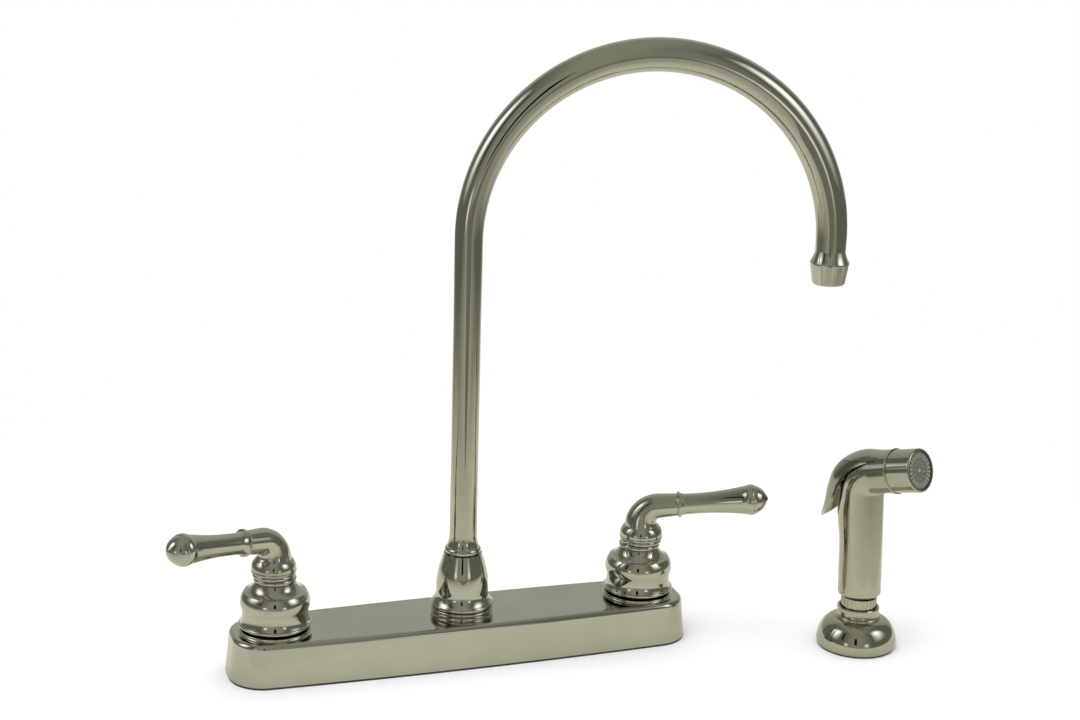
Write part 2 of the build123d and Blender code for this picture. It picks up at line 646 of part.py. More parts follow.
def grip(side):
    """Flared grip: a slim waist by the ring, a full end and a small button at the tip."""
    low = RING_WIDTH / 2
    body = turned((0, low), (GRIP_FOOT, low), (GRIP_THROAT, GRIP_WAIST), (GRIP_MIDDLE, GRIP_SHOULDER),
                  (GRIP_BULGE, GRIP_END), (GRIP_NOSE, GRIP_NECK), GRIP_BUTTON, GRIP_TIP,
                  (0, GRIP_TIP[1]))
    body += cylinder(GRIP_SPIGOT, -GRIP_SPIGOT_DEPTH + 0.3, low)
    return place_handle(side, lever_frame(ring_along) * body)


# ---- side spray ----------------------------------------------------------------------------
def spray_guide():
    """Flange, cup and threaded shank that hold the spray in the deck."""
    low = GUIDE_GASKET
    body = turned((GUIDE_SHANK_BORE, -GUIDE_DROP), (GUIDE_SHANK, -GUIDE_DROP), (GUIDE_SHANK, low),
                  (14.5, low), (14.5, 8), (18.5, 7), (19.6, low), (FLANGE_RADIUS - 0.5, low),
                  (FLANGE_RADIUS, low + 1.0), ((21.4, 6.8), (19.1, 12.2)), ((17.0, 14.6), (13.6, 16.4)),
                  (12.4, 16.7), ((12.5, 17.5), (11.7, 18.2)), (GUIDE_CUP, 18.6),
                  (GUIDE_CUP, GUIDE_CUP_TOP - 0.5), (GUIDE_CUP - 0.5, GUIDE_CUP_TOP),
                  (GUIDE_BORE, GUIDE_CUP_TOP), (GUIDE_BORE, GUIDE_LEDGE), (GUIDE_SHANK_BORE, GUIDE_LEDGE))
    relief = GUIDE_FREE - GUIDE_DROP
    body -= tube(GUIDE_SHANK + 1, GUIDE_SHANK - RELIEF_DEPTH, relief, relief + RELIEF_WIDTH)
    return at_spray(body)


def guide_gasket():
    return at_spray(tube(FLANGE_RADIUS - 1.0, GUIDE_SHANK + FREE, 0, GUIDE_GASKET))


def guide_nut():
    top = -DECK_THICKNESS
    nut = hexagon(GUIDE_NUT_ACROSS, top - GUIDE_NUT_HEIGHT, top)
    nut -= cylinder(GUIDE_SHANK + SNUG, top - GUIDE_NUT_HEIGHT - 1, top + 1)
    return at_spray(nut)


def hose_coupling():
    """Fluted coupling at the hose's end: it sits in the guide and the spray turns in it."""
    low = GUIDE_LEDGE + RUNNING
    body = cylinder(COUPLING_RADIUS, low, COUPLING_TOP)
    flute = Pos(COUPLING_RADIUS + 0.4, 0, low + 1.2) * Box(
        2 * FLUTE_DEPTH, 1.0, COUPLING_TOP, align=(Align.CENTER, Align.CENTER, Align.MIN))
    cutters = [Rot(0, 0, 360 / COUPLING_FLUTES * number) * flute for number in range(COUPLING_FLUTES)]
    body -= cutters
    body += cylinder(TAIL_RADIUS, low - TAIL_DROP, low)
    body -= cylinder(TAIL_BORE, low - TAIL_DROP - 1, COUPLING_TOP)
    return at_spray(body - cylinder(SPIGOT_RADIUS + RUNNING, COUPLING_TOP - SPIGOT_DEPTH, COUPLING_TOP + 1))


def swivel_o_ring():
    minor = 0.8
    ring = Torus(SPIGOT_RADIUS - minor, minor)
    return at_spray(Pos(0, 0, COUPLING_TOP - SPIGOT_DEPTH / 2) * ring)


def nozzle_frame(distance):
    rise = math.radians(NOZZLE_RISE)
    return along(distance * math.cos(rise), SPRAY_CORNER + distance * math.sin(rise), 90 - NOZZLE_RISE)


def trigger_horn(shrink):
    """The horn that the trigger is cut from: it follows the back of the head."""
    return loft([section(out, up, lean, girth - shrink)
                 for (out, up, lean), girth in zip(TRIGGER_SPINE, TRIGGER_GIRTH)])


def slit_level(out):
    """Height of the trigger's upper edge at a distance out along the nozzle."""
    slope = (TRIGGER_FRONT[1] - TRIGGER_BACK[1]) / (TRIGGER_FRONT[0] - TRIGGER_BACK[0])
    return TRIGGER_FRONT[1] + slope * (out - TRIGGER_FRONT[0])


def shifted(point, out, up):
    return (point[0] + out, point[1] + up)


def trigger_side(grow):
    """The trigger's outline seen from the side, as a block across the head."""
    corner = TRIGGER_FRONT[0] + 8 * grow
    front = (corner, slit_level(corner) + grow)
    cheek = shifted(TRIGGER_CHEEK, 2 * grow, -grow)
    tip = shifted(TRIGGER_TIP, 0, -grow)
    outside = -45
    outline = profile(front, (cheek, shifted(TRIGGER_WAIST, grow, 0)),
                      (shifted(TRIGGER_EDGE, grow, -grow), tip), (outside, tip[1]),
                      (outside, slit_level(outside) + grow))
    return extrude(outline, 20, both=True)


def trigger_arm(low, grow):
    """The arm from the trigger's back to its pivot, down to a level at its back end."""
    back = TRIGGER_BACK[0] - TRIGGER_THICK
    top = slit_level(back) + grow
    side = profile((back, top), (PIVOT[0], PIVOT[1] + LUG_RADIUS + grow - 0.6),
                   (PIVOT[0], PIVOT[1] - LUG_RADIUS - grow + 0.6), (back, low))
    arm = extrude(side, LUG_WIDTH / 2 + grow, both=True)
    return arm + pivot_bar(LUG_RADIUS + grow, LUG_WIDTH + 2 * grow)


def trigger():
    """Thumb trigger: a pointed shell over the back of the head, hinged inside it."""
    inside = trigger_horn(TRIGGER_THICK / 2) + pivot_bar(LUG_RADIUS, LUG_WIDTH)
    shell = (trigger_horn(0) - trigger_horn(TRIGGER_THICK)) & trigger_side(0)
    arm = trigger_arm(TRIGGER_BACK[1] - WEB_HEIGHT, 0) & inside
    return shell + arm - pivot_bar(PIVOT_PIN + RUNNING, LUG_WIDTH + 2)


def pivot_bar(radius, length):
    return Pos(PIVOT[0], 0, PIVOT[1]) * Rot(90, 0, 0) * Cylinder(radius, length)


def about_pivot(angle, piece):
    return Pos(PIVOT[0], 0, PIVOT[1]) * Rot(0, -angle, 0) * Pos(-PIVOT[0], 0, -PIVOT[1]) * piece


def leaned(piece):
    """Leans the handle back about the foot of the spray."""
    return Pos(0, 0, SPRAY_BODY_BOTTOM) * Rot(0, -SPRAY_LEAN, 0) * Pos(0, 0, -SPRAY_BODY_BOTTOM) * piece


def spray_handle():
    """Handle and head before the trigger is let in: round at the hose, fuller at the back."""
    low = SPRAY_BODY_BOTTOM
    rise = math.radians(NOZZLE_RISE)
    lean = math.radians(SPRAY_LEAN)
    length = (SPRAY_CORNER - low) / (math.cos(lean) + math.sin(lean) * math.tan(rise))
    back = length * math.sin(lean) / math.cos(rise)
    turn = 90 - NOZZLE_RISE + SPRAY_LEAN
    tangent = SPRAY_BEND * math.tan(math.radians(turn / 2))
    start = low + length - tangent
    stem = turned((0, low), (SPRAY_GIRTH - 1.3, low),
                  ((SPRAY_GIRTH - 0.4, low + 1.1), (SPRAY_GIRTH, low + 3)),
                  (SPRAY_GIRTH, SPRAY_BULGE[0][1]), (HEAD_GIRTH, start), (0, start))
    bulge = loft([section(-back_set, up, 0, girth) for back_set, up, girth in SPRAY_BULGE])
    crown = Pos(-SPRAY_BULGE[-1][0], 0, SPRAY_BULGE[-1][1]) * Sphere(SPRAY_BULGE[-1][2])
    bend = revolve(section(0, start, 0, HEAD_GIRTH), axis=Axis((SPRAY_BEND, 0, start), (0, 1, 0)),
                   revolution_arc=turn)
    run = NOZZLE_RING_OUT - NOZZLE_RING_WIDTH / 2 + back - tangent
    barrel = nozzle_frame(tangent - back) * Cone(
        HEAD_GIRTH, NOZZLE_RING_RADIUS - 0.4, run, align=(Align.CENTER, Align.CENTER, Align.MIN))
    return leaned(stem + bulge + crown + bend) + barrel


def spray_body():
    """Spray handle with its ridge, spigot, bores and the recess for the trigger."""
    front = NOZZLE_RING_OUT - 5
    above = profile((-40, slit_level(-40) + FREE), (front, slit_level(front) + FREE),
                    (front, 150), (-40, 150))
    ridge = trigger_horn(0) & extrude(above, 20, both=True)
    body = spray_handle() + ridge
    body -= cylinder(2 * SPRAY_GIRTH, COUPLING_TOP - 2, SPRAY_BODY_BOTTOM)
    body += cylinder(SPIGOT_RADIUS, COUPLING_TOP - SPIGOT_DEPTH + FREE, SPRAY_BODY_BOTTOM + 1)
    seal = COUPLING_TOP - SPIGOT_DEPTH / 2
    body -= tube(SPIGOT_RADIUS + 1, SPIGOT_RADIUS - 1.62, seal - 0.9, seal + 0.9)
    body -= cylinder(3.0, COUPLING_TOP - SPIGOT_DEPTH - 1, 80)
    body -= nozzle_frame(NOZZLE_RING_OUT - 8) * cylinder(7.0 + SNUG, 0, 20)
    core = trigger_horn(TRIGGER_THICK + FREE)
    core &= about_pivot(TRIGGER_TRAVEL, core)
    room = trigger_side(FREE) + about_pivot(TRIGGER_TRAVEL, trigger_side(FREE))
    body -= room - core
    drop = (PIVOT[0] - TRIGGER_BACK[0] + TRIGGER_THICK) * math.sin(math.radians(TRIGGER_TRAVEL))
    body -= trigger_arm(TRIGGER_BACK[1] - WEB_HEIGHT - drop - FREE, FREE)
    body -= pivot_bar(PIVOT_PIN + SNUG, PIN_LENGTH + 0.2)
    return body - Pos(-30, 0, PLUNGER_LEVEL) * Rot(0, 90, 0) * cylinder(PLUNGER_RADIUS + RUNNING, 0, 30)


def plunger():
    """Valve plunger that the trigger pushes."""
    rod = turned((0, 0), (PLUNGER_RADIUS - 0.8, 0), ((PLUNGER_RADIUS - 0.2, 0.2), (PLUNGER_RADIUS, 0.8)),
                 (PLUNGER_RADIUS, PLUNGER_LENGTH), (0, PLUNGER_LENGTH))
    return Pos(PLUNGER_TIP, 0, PLUNGER_LEVEL) * Rot(0, 90, 0) * rod


def nozzle_ring():
    half = NOZZLE_RING_WIDTH / 2
    bead = turned((7.0 + SNUG, -half), (NOZZLE_RING_RADIUS - 0.4, -half),
                  ((NOZZLE_RING_RADIUS, 0), (NOZZLE_RING_RADIUS - 0.4, half)), (7.0 + SNUG, half))
    return at_spray(nozzle_frame(NOZZLE_RING_OUT) * bead)


def nozzle_cap():
    low = NOZZLE_RING_WIDTH / 2
    high = NOZZLE_LENGTH
    body = turned((0, -7), (7.0, -7), (7.0, low), (11.7, low), (NOZZLE_RADIUS, high - 1.2),
                  ((NOZZLE_RADIUS - 0.3, high - 0.3), (NOZZLE_RADIUS - 1.1, high)),
                  (NOZZLE_RADIUS - NOZZLE_WALL, high), (NOZZLE_RADIUS - NOZZLE_WALL, high - FACE_DEPTH),
                  (4, high - FACE_DEPTH), (4, 4), (0, 4))
    return at_spray(nozzle_frame(NOZZLE_RING_OUT) * body)


def spray_face():
    """Face of the nozzle: a rim of radial slots and a dished centre."""
    radius = NOZZLE_RADIUS - NOZZLE_WALL - SNUG
    low = NOZZLE_LENGTH - FACE_DEPTH
    high = NOZZLE_LENGTH - FACE_RECESS
    plate = turned((0, low), (radius, low), (radius, high), (1.6, high), (1.2, high - 0.8), (0, high - 0.8))
    cutters = [Rot(0, 0, 360 / FACE_SLOTS * number) * Pos(radius - 1.7, 0, high) * Box(2.6, 0.9, 1.6)
               for number in range(FACE_SLOTS)]
    return at_spray(nozzle_frame(NOZZLE_RING_OUT) * (plate - cutters))


# ---- all pieces ----------------------------------------------------------------------------
def all_pieces():
    pieces = {
        "deck_cover": deck_cover(),
        "deck_gasket": deck_gasket(),
        "mounting_nuts": mounting_nuts(),
        "mounting_washers": mounting_washers(),
        "centre_body": centre_body(),
        "spout_o_rings": spout_o_rings(),
        "spout_clip": spout_clip(),
        "diverter_seat": diverter_seat(),
        "diverter_poppet": diverter_poppet(),
        "spout_base_ring": spout_base_ring(),
        "swivel_washer": swivel_washer(),
        "spout_bulb": spout_bulb(),
        "spout_neck_ring": neck_ring(),
        "spout_tube": spout_tube(),
        "aerator_shell": aerator_shell(),
        "aerator_insert": aerator_insert(),
        "aerator_washer": aerator_washer(),
        "spray_guide": spray_guide(),
        "spray_guide_gasket": guide_gasket(),
        "spray_guide_nut": guide_nut(),
        "hose_coupling": hose_coupling(),
        "spray_swivel_o_ring": swivel_o_ring(),
        "spray_body": at_spray(spray_body()),
        "spray_trigger": at_spray(trigger()),
        "trigger_pin": at_spray(pivot_bar(PIVOT_PIN, PIN_LENGTH)),
        "spray_plunger": at_spray(plunger()),
        "nozzle_ring": nozzle_ring(),
        "nozzle_cap": nozzle_cap(),
        "spray_face": spray_face(),
    }
    for name, side in (("hot", -1), ("cold", 1)):
        pieces[name + "_valve_body"] = valve_body(side)
        pieces[name + "_cartridge"] = cartridge(side)
        pieces[name + "_seat_seal"] = seat_seal(side)
        fixed = disc(CARTRIDGE_CAVITY - RUNNING, fixed_disc_low, (90, 270))
        moving = disc(DISC_RADIUS, moving_disc_low, (0, 180))
        pieces[name + "_fixed_disc"] = at_hub(side, fixed)
        pieces[name + "_moving_disc"] = at_hub(side, moving)
        pieces[name + "_stem"] = valve_stem(side)
        pieces[name + "_bonnet_nut"] = bonnet_nut(side)
        pieces[name + "_crossover_pipe"] = crossover_pipe(side)
        pieces[name + "_bell"] = bell(side)
        pieces[name + "_elbow"] = elbow(side)
        pieces[name + "_set_screw"] = set_screw(side)
        pieces[name + "_grip_ring"] = grip_ring(side)
        pieces[name + "_grip"] = grip(side)
    return pieces


os.makedirs("parts", exist_ok=True)
for node, piece in all_pieces().items():
    export_step(piece, f"parts/{node}.step")
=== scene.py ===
# %% [markdown]
# # A two handle kitchen faucet in polished chrome
# The faucet is a row of turned and bent pieces: a long deck cover, two bells with lever
# handles, a gooseneck spout on a pear-shaped nut, and a side spray in its own guide.
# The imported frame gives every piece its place. Polished chrome shows each flat of a coarse
# mesh, so the visible pieces are modelled again here with smooth, close rings.

# %% The frame and its measures
import math

import bmesh
import bpy
from mathutils import Matrix, Vector


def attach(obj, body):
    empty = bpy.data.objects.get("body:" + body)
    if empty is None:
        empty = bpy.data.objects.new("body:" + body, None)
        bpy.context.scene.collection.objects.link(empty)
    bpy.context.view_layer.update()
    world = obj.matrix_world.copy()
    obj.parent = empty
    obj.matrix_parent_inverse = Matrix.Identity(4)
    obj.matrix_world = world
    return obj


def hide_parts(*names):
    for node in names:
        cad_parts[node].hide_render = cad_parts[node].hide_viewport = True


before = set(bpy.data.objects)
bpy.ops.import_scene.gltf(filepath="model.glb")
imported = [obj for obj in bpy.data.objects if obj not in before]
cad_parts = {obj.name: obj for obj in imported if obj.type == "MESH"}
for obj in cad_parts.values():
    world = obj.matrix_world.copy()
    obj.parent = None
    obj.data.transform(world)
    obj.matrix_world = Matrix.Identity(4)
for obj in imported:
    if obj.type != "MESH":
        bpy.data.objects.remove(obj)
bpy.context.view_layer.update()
MM = 0.001


# %% [markdown]
# ## Camera
# The camera stands to the left of the faucet's middle and looks down on it a little.
# Its place and its three axes were found from the photograph, with the handles' spacing
# of 203.2 mm as the scale.

# %% Camera
CAMERA_PLACE = (-0.29085, -0.94567, 0.43102)
CAMERA_RIGHT = (0.94587, -0.3233, 0.02845)
CAMERA_UP = (0.05829, 0.25546, 0.96506)
CAMERA_LOOK = (0.31927, 0.91116, -0.26048)
CAMERA_LENS = 65.58

lens = bpy.data.cameras.new("camera")
lens.lens = CAMERA_LENS
lens.clip_end = 50
camera = bpy.data.objects.new("camera", lens)
bpy.context.scene.collection.objects.link(camera)
right, up, look = (Vector(axis) for axis in (CAMERA_RIGHT, CAMERA_UP, CAMERA_LOOK))
turn = Matrix((right, up, -look)).transposed().to_4x4()
camera.matrix_world = Matrix.Translation(CAMERA_PLACE) @ turn
bpy.context.scene.camera = camera
print("camera", CAMERA_PLACE, "lens", CAMERA_LENS)


# %% [markdown]
# ## Turning a piece
# Most of a faucet is turned on a lathe. In Blender the same is done with a drawn half
# outline and Spin: a single vertex is extruded from point to point, and the outline is
# spun about its axis. Round stretches are given as an arc through three points, so a
# profile here reads as it would on a drawing, in millimetres from the axis and up.

# %% Drawing and spinning an outline
def arc_points(start, through, end, steps):
    """Points of the arc from start through a middle point to the end, without the start."""
    (ax, ay), (bx, by), (cx, cy) = start, through, end
    scale = 2 * (ax * (by - cy) + bx * (cy - ay) + cx * (ay - by))
    ox = ((ax**2 + ay**2) * (by - cy) + (bx**2 + by**2) * (cy - ay) + (cx**2 + cy**2) * (ay - by)) / scale
    oy = ((ax**2 + ay**2) * (cx - bx) + (bx**2 + by**2) * (ax - cx) + (cx**2 + cy**2) * (bx - ax)) / scale
    radius = math.hypot(ax - ox, ay - oy)
    first, middle, last = (math.atan2(y - oy, x - ox) for x, y in (start, through, end))
    sweep = (last - first) % math.tau
    if (middle - first) % math.tau > sweep:
        sweep -= math.tau
    angles = [first + sweep * (number + 1) / steps for number in range(steps)]
    return [(ox + radius * math.cos(angle), oy + radius * math.sin(angle)) for angle in angles]


def outline(start, *steps, fine=8):
    """A profile: each step is a point, or an arc as (through, end)."""
    points = [start]
    for step in steps:
        if isinstance(step[0], tuple):
            points += arc_points(points[-1], step[0], step[1], fine)
        else:
            points.append(step)
    return points


def select_only(*pieces):
    """Selects these pieces alone, with the first one active."""
    bpy.ops.object.select_all(action="DESELECT")
    for piece in pieces:
        piece.select_set(True)
    bpy.context.view_layer.objects.active = pieces[0]


def added(name):
    """Names the object that was just added and puts it in edit mode."""
    piece = bpy.context.active_object
    piece.name = piece.data.name = name
    bpy.ops.object.mode_set(mode="EDIT")
    return piece


def add_plane(name):
    """A small plane in edit mode, with nothing else selected."""
    bpy.ops.object.select_all(action="DESELECT")
    bpy.ops.mesh.primitive_plane_add(size=MM)
    return added(name)


def drawn(name, points, side=0.0):
    """An outline in the XZ plane, in edit mode: one vertex extruded from point to point."""
    piece = add_plane(name)
    bpy.ops.mesh.merge(type="CENTER")
    bpy.ops.transform.translate(value=(points[0][0] * MM, side * MM, points[0][1] * MM))
    for here, there in zip(points, points[1:]):
        step = ((there[0] - here[0]) * MM, 0, (there[1] - here[1]) * MM)
        bpy.ops.mesh.extrude_region_move(TRANSFORM_OT_translate={"value": step})
    bpy.ops.mesh.select_all(action="SELECT")
    return piece


def close_edit(piece, angle=32):
    """Merges doubles, turns the faces outwards and shades by angle."""
    bpy.ops.mesh.select_all(action="SELECT")
    bpy.ops.mesh.remove_doubles(threshold=1e-6)
    bpy.ops.mesh.normals_make_consistent(inside=False)
    bpy.ops.object.mode_set(mode="OBJECT")
    bpy.ops.object.shade_smooth_by_angle(angle=math.radians(angle))


def spun(name, points, place=Matrix.Identity(4), around=96, angle=32):
    """A closed profile spun about the upright axis and put in its place."""
    piece = drawn(name, points)
    bpy.ops.mesh.spin(steps=around, angle=math.tau, center=(0, 0, 0), axis=(0, 0, 1))
    close_edit(piece, angle)
    piece.data.transform(place)
    return piece


def joined(name, pieces):
    """Joins pieces into the first and names the result."""
    select_only(*pieces)
    bpy.ops.object.join()
    pieces[0].name = pieces[0].data.name = name
    return pieces[0]


def dress(piece, material, body, slot, *nodes):
    """Gives a finished piece its material, its body and the CAD nodes that it stands for."""
    piece.data.materials.clear()
    piece.data.materials.append(material)
    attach(piece, body)
    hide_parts(*nodes)
    print(piece.name, len(piece.data.polygons), "faces")


# %% [markdown]
# ## Bent pieces
# The gooseneck and the handle elbows are rings carried round a bend. A filled circle is
# added at one end and extruded once for each ring, and the new ring is moved, leaned and
# grown to its place. A ring's radius may also be a formula of the angle round it, for
# pieces that are fuller on one side. The deck cover further down uses the same skin with
# rings of its own plan.

# %% Carrying a ring along a path
def carried(angle, ring):
    """Where a ring's vertex lies. The radius is a number, or a formula of the angle."""
    out, up_, lean, radius = ring
    reach = (radius(angle) if callable(radius) else radius) * MM
    flat = Vector((reach * math.cos(angle), reach * math.sin(angle), 0))
    return Vector((out * MM, 0, up_ * MM)) + Matrix.Rotation(math.radians(lean), 3, "Y") @ flat


def skin(name, around, rings, mark, put, angle=32):
    """A closed skin over rings: each vertex gets a mark once, and put() places it on a ring."""
    bpy.ops.object.select_all(action="DESELECT")
    bpy.ops.mesh.primitive_circle_add(vertices=around, radius=MM, fill_type="NGON")
    piece = added(name)
    work = bmesh.from_edit_mesh(piece.data)
    layer = work.verts.layers.float.new("mark")
    for number, vertex in enumerate(work.verts):
        vertex[layer] = mark(number, vertex.co)
    for number, ring in enumerate(rings):
        if number:
            bpy.ops.mesh.extrude_region_move()
            work = bmesh.from_edit_mesh(piece.data)
            layer = work.verts.layers.float["mark"]
        for vertex in work.verts:
            if vertex.select:
                vertex.co = put(vertex[layer], ring)
        bmesh.update_edit_mesh(piece.data)
    close_edit(piece, angle)
    return piece


def ring_path(name, rings, around=96, angle=32):
    """A closed skin over round rings, each (out, up, lean, radius), in the XZ plane."""
    return skin(name, around, rings, lambda number, spot: math.atan2(spot.y, spot.x), carried, angle)


def placed(piece, place):
    """Moves a finished piece's mesh to its place."""
    piece.data.transform(place)
    return piece


def moved(x, y, z=0.0):
    """A shift in millimetres."""
    return Matrix.Translation((x * MM, y * MM, z * MM))


def turned_by(degrees, axis="Z"):
    """A turn in degrees about an axis of the room."""
    return Matrix.Rotation(math.radians(degrees), 4, axis)


def along(out, up_, lean):
    """The place whose Z runs along a leaning axis from a point of the XZ plane."""
    return moved(out, 0, up_) @ turned_by(lean, "Y")


# %% [markdown]
# ## Finishes
# Polished chrome is a mirror with a faint grey-green cast from what stands round it; part of
# that cast, and a darker tone than bare chrome, is painted into its base colour as painted
# reflection. It is not perfect: a buffing haze shades its colour, and fine marks make the
# gloss uneven.
# Rougher finishes also get a little relief. All of that comes from noise on Object
# coordinates.

# %% Chrome and the other finishes
HAZE_SCALE, MARKS_SCALE, RELIEF = 38.0, 900.0, 0.0004


def node(tree, kind, **settings):
    """A node with its inputs and settings filled in by name."""
    made = tree.nodes.new(kind)
    for key, value in settings.items():
        if key in made.inputs:
            made.inputs[key].default_value = value
        else:
            setattr(made, key, value)
    return made


def noise_in_place(tree, scale, detail=4.0):
    """Noise on Object coordinates."""
    place = tree.nodes.new("ShaderNodeTexCoord")
    pattern = node(tree, "ShaderNodeTexNoise", Scale=scale, Detail=detail)
    tree.links.new(place.outputs["Object"], pattern.inputs["Vector"])
    return pattern


def ramp(tree, source, low, high, start=0.35, end=0.65):
    """Maps a pattern to values or colours from low to high."""
    mapped = tree.nodes.new("ShaderNodeValToRGB")
    mapped.color_ramp.elements[0].position = start
    mapped.color_ramp.elements[1].position = end
    for stop, value in zip(mapped.color_ramp.elements, (low, high)):
        stop.color = (value, value, value, 1) if isinstance(value, float) else (*value, 1)
    tree.links.new(source, mapped.inputs["Fac"])
    return mapped.outputs["Color"]


def finish(name, colour, worn, gloss, dull, bump, metal=1.0):
    """A surface whose colour, gloss and relief vary a little from place to place."""
    made = bpy.data.materials.new(name)
    made.use_nodes = True
    tree = made.node_tree
    shader = tree.nodes["Principled BSDF"]
    shader.inputs["Metallic"].default_value = metal
    haze = noise_in_place(tree, HAZE_SCALE)
    tree.links.new(ramp(tree, haze.outputs["Fac"], colour, worn), shader.inputs["Base Color"])
    marks = noise_in_place(tree, MARKS_SCALE, 6.0)
    tree.links.new(ramp(tree, marks.outputs["Fac"], gloss, dull, 0.45, 0.75), shader.inputs["Roughness"])
    relief = node(tree, "ShaderNodeBump", Strength=bump, Distance=RELIEF)
    tree.links.new(marks.outputs["Fac"], relief.inputs["Height"])
    tree.links.new(relief.outputs["Normal"], shader.inputs["Normal"])
    return made


# Painted reflection: the olive tint of these plating colours, and the chromes' dark tone, stand in for a
# khaki room mirrored in them.
chrome = finish("polished_chrome", (0.46, 0.45, 0.385), (0.43, 0.42, 0.36), 0.03, 0.07, bump=0.0)
plated = finish("chrome_on_plastic", (0.44, 0.43, 0.355), (0.41, 0.40, 0.33), 0.05, 0.10, bump=0.0)
smoked = finish("smoked_plating", (0.30, 0.295, 0.24), (0.27, 0.265, 0.215), 0.10, 0.16, bump=0.005)
# Painted shade: the bonnet nuts and valve bodies sit in the dark gap under the bells, so their brass is
# painted almost black.
shade_dark_brass = finish("shade_dark_brass", (0.045, 0.034, 0.018), (0.07, 0.05, 0.025), 0.4, 0.6, bump=0.15)
SLOT_FINISH = {
    "chrome": chrome,
    "chrome_plastic": plated,
    "brass": finish("bare_brass", (0.72, 0.52, 0.24), (0.60, 0.42, 0.20), 0.25, 0.45, bump=0.15),
    "copper": finish("copper_pipe", (0.80, 0.42, 0.28), (0.62, 0.30, 0.20), 0.22, 0.42, bump=0.10),
    "stainless": finish("stainless", (0.60, 0.60, 0.58), (0.52, 0.52, 0.50), 0.20, 0.35, bump=0.05),
    "black_rubber": finish("black_rubber", (0.018, 0.018, 0.018), (0.03, 0.03, 0.03), 0.55, 0.75,
                           bump=0.3, metal=0.0),
    "dark_plastic": finish("dark_plastic", (0.030, 0.030, 0.028), (0.05, 0.05, 0.045), 0.28, 0.45,
                           bump=0.08, metal=0.0),
    "white_plastic": finish("white_plastic", (0.72, 0.72, 0.69), (0.66, 0.66, 0.63), 0.35, 0.5,
                            bump=0.08, metal=0.0),
    "grey_plastic": finish("grey_plastic", (0.22, 0.22, 0.20), (0.16, 0.16, 0.15), 0.35, 0.5,
                           bump=0.08, metal=0.0),
    "ceramic": finish("ceramic", (0.82, 0.80, 0.76), (0.78, 0.76, 0.72), 0.12, 0.2, bump=0.01, metal=0.0),
}
# Pieces that sit in shade get the brass with painted shade instead of their slot's finish.
for cad_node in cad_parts.values():
    in_shade = "bonnet_nut" in cad_node.name or "valve_body" in cad_node.name
    for number, old in enumerate(cad_node.data.materials):
        key = old.name.split(".")[0]
        cad_node.material_slots[number].material = shade_dark_brass if in_shade else SLOT_FINISH.get(key, chrome)
print("finishes:", sorted(SLOT_FINISH))


# %% [markdown]
# ## Deck cover
# The cover is a long pressed shell with slightly bowed sides. Its plan is made of four
# long arcs with round corners, so one ring of points follows that plan, and the ring is
# extruded level by level: down inside, out under the foot, up the slanting side, over the
# rounded edge and across the top. Low round pads stand under the two bells.

# %% The cover's plan and its levels
HUB = 101.6
HALF_LENGTH, HALF_WIDTH, SIDE_BOW, END_BOW, CORNER = 123.7, 20.7, 3.3, 1.5, 17.0
COVER_TOP, FOOT, EDGE, SKIN = 23.6, 1.2, 2.8, 2.0
END_SHARE, SIDE_SHARE = 0.15, 0.5
SIDES = (("hot", -1), ("cold", 1))


def bow_circle(chord, bow):
    """Radius of the long arc over half a chord with that bow."""
    return (chord * chord + bow * bow) / (2 * bow)


def cover_point(grow, share):
    """A point of the plan's first quarter: share 0 is the right end, 1 the middle of the side."""
    x, y = HALF_LENGTH + grow, HALF_WIDTH + grow
    side, end = bow_circle(x, SIDE_BOW), bow_circle(y, END_BOW)
    side_middle = (0.0, y + SIDE_BOW - side)
    end_middle = (x + END_BOW - end, 0.0)
    corner = CORNER + grow
    reach_side, reach_end = side - corner, end - corner
    gap = math.hypot(end_middle[0] - side_middle[0], end_middle[1] - side_middle[1])
    toward = (reach_side**2 - reach_end**2 + gap**2) / (2 * gap)
    off = math.sqrt(max(reach_side**2 - toward**2, 0.0))
    ux, uy = (end_middle[0] - side_middle[0]) / gap, (end_middle[1] - side_middle[1]) / gap
    centre = max(((side_middle[0] + toward * ux - way * off * uy,
                   side_middle[1] + toward * uy + way * off * ux) for way in (1, -1)), key=sum)
    low = math.atan2(centre[1] - end_middle[1], centre[0] - end_middle[0])
    high = math.atan2(centre[1] - side_middle[1], centre[0] - side_middle[0])
    if share < END_SHARE:
        angle = low * share / END_SHARE
        return end_middle[0] + end * math.cos(angle), end * math.sin(angle)
    if share < SIDE_SHARE:
        angle = low + (high - low) * (share - END_SHARE) / (SIDE_SHARE - END_SHARE)
        return centre[0] + corner * math.cos(angle), centre[1] + corner * math.sin(angle)
    angle = high + (math.pi / 2 - high) * (share - SIDE_SHARE) / (1 - SIDE_SHARE)
    return side_middle[0] + side * math.cos(angle), side_middle[1] + side * math.sin(angle)


def cover_ring(grow, quarter=36):
    """The whole plan as points, grown outwards."""
    first = [cover_point(grow, number / quarter) for number in range(quarter)]
    second = [(-x, y) for x, y in (cover_point(grow, 1 - number / quarter) for number in range(quarter))]
    return first + second + [(-x, -y) for x, y in first + second]


def on_plan(number, level):
    """Where a vertex of the plan lies on a level, which is a ring of points and its height."""
    ring, height = level
    x, y = ring[int(number)]
    return x * MM, y * MM, height * MM


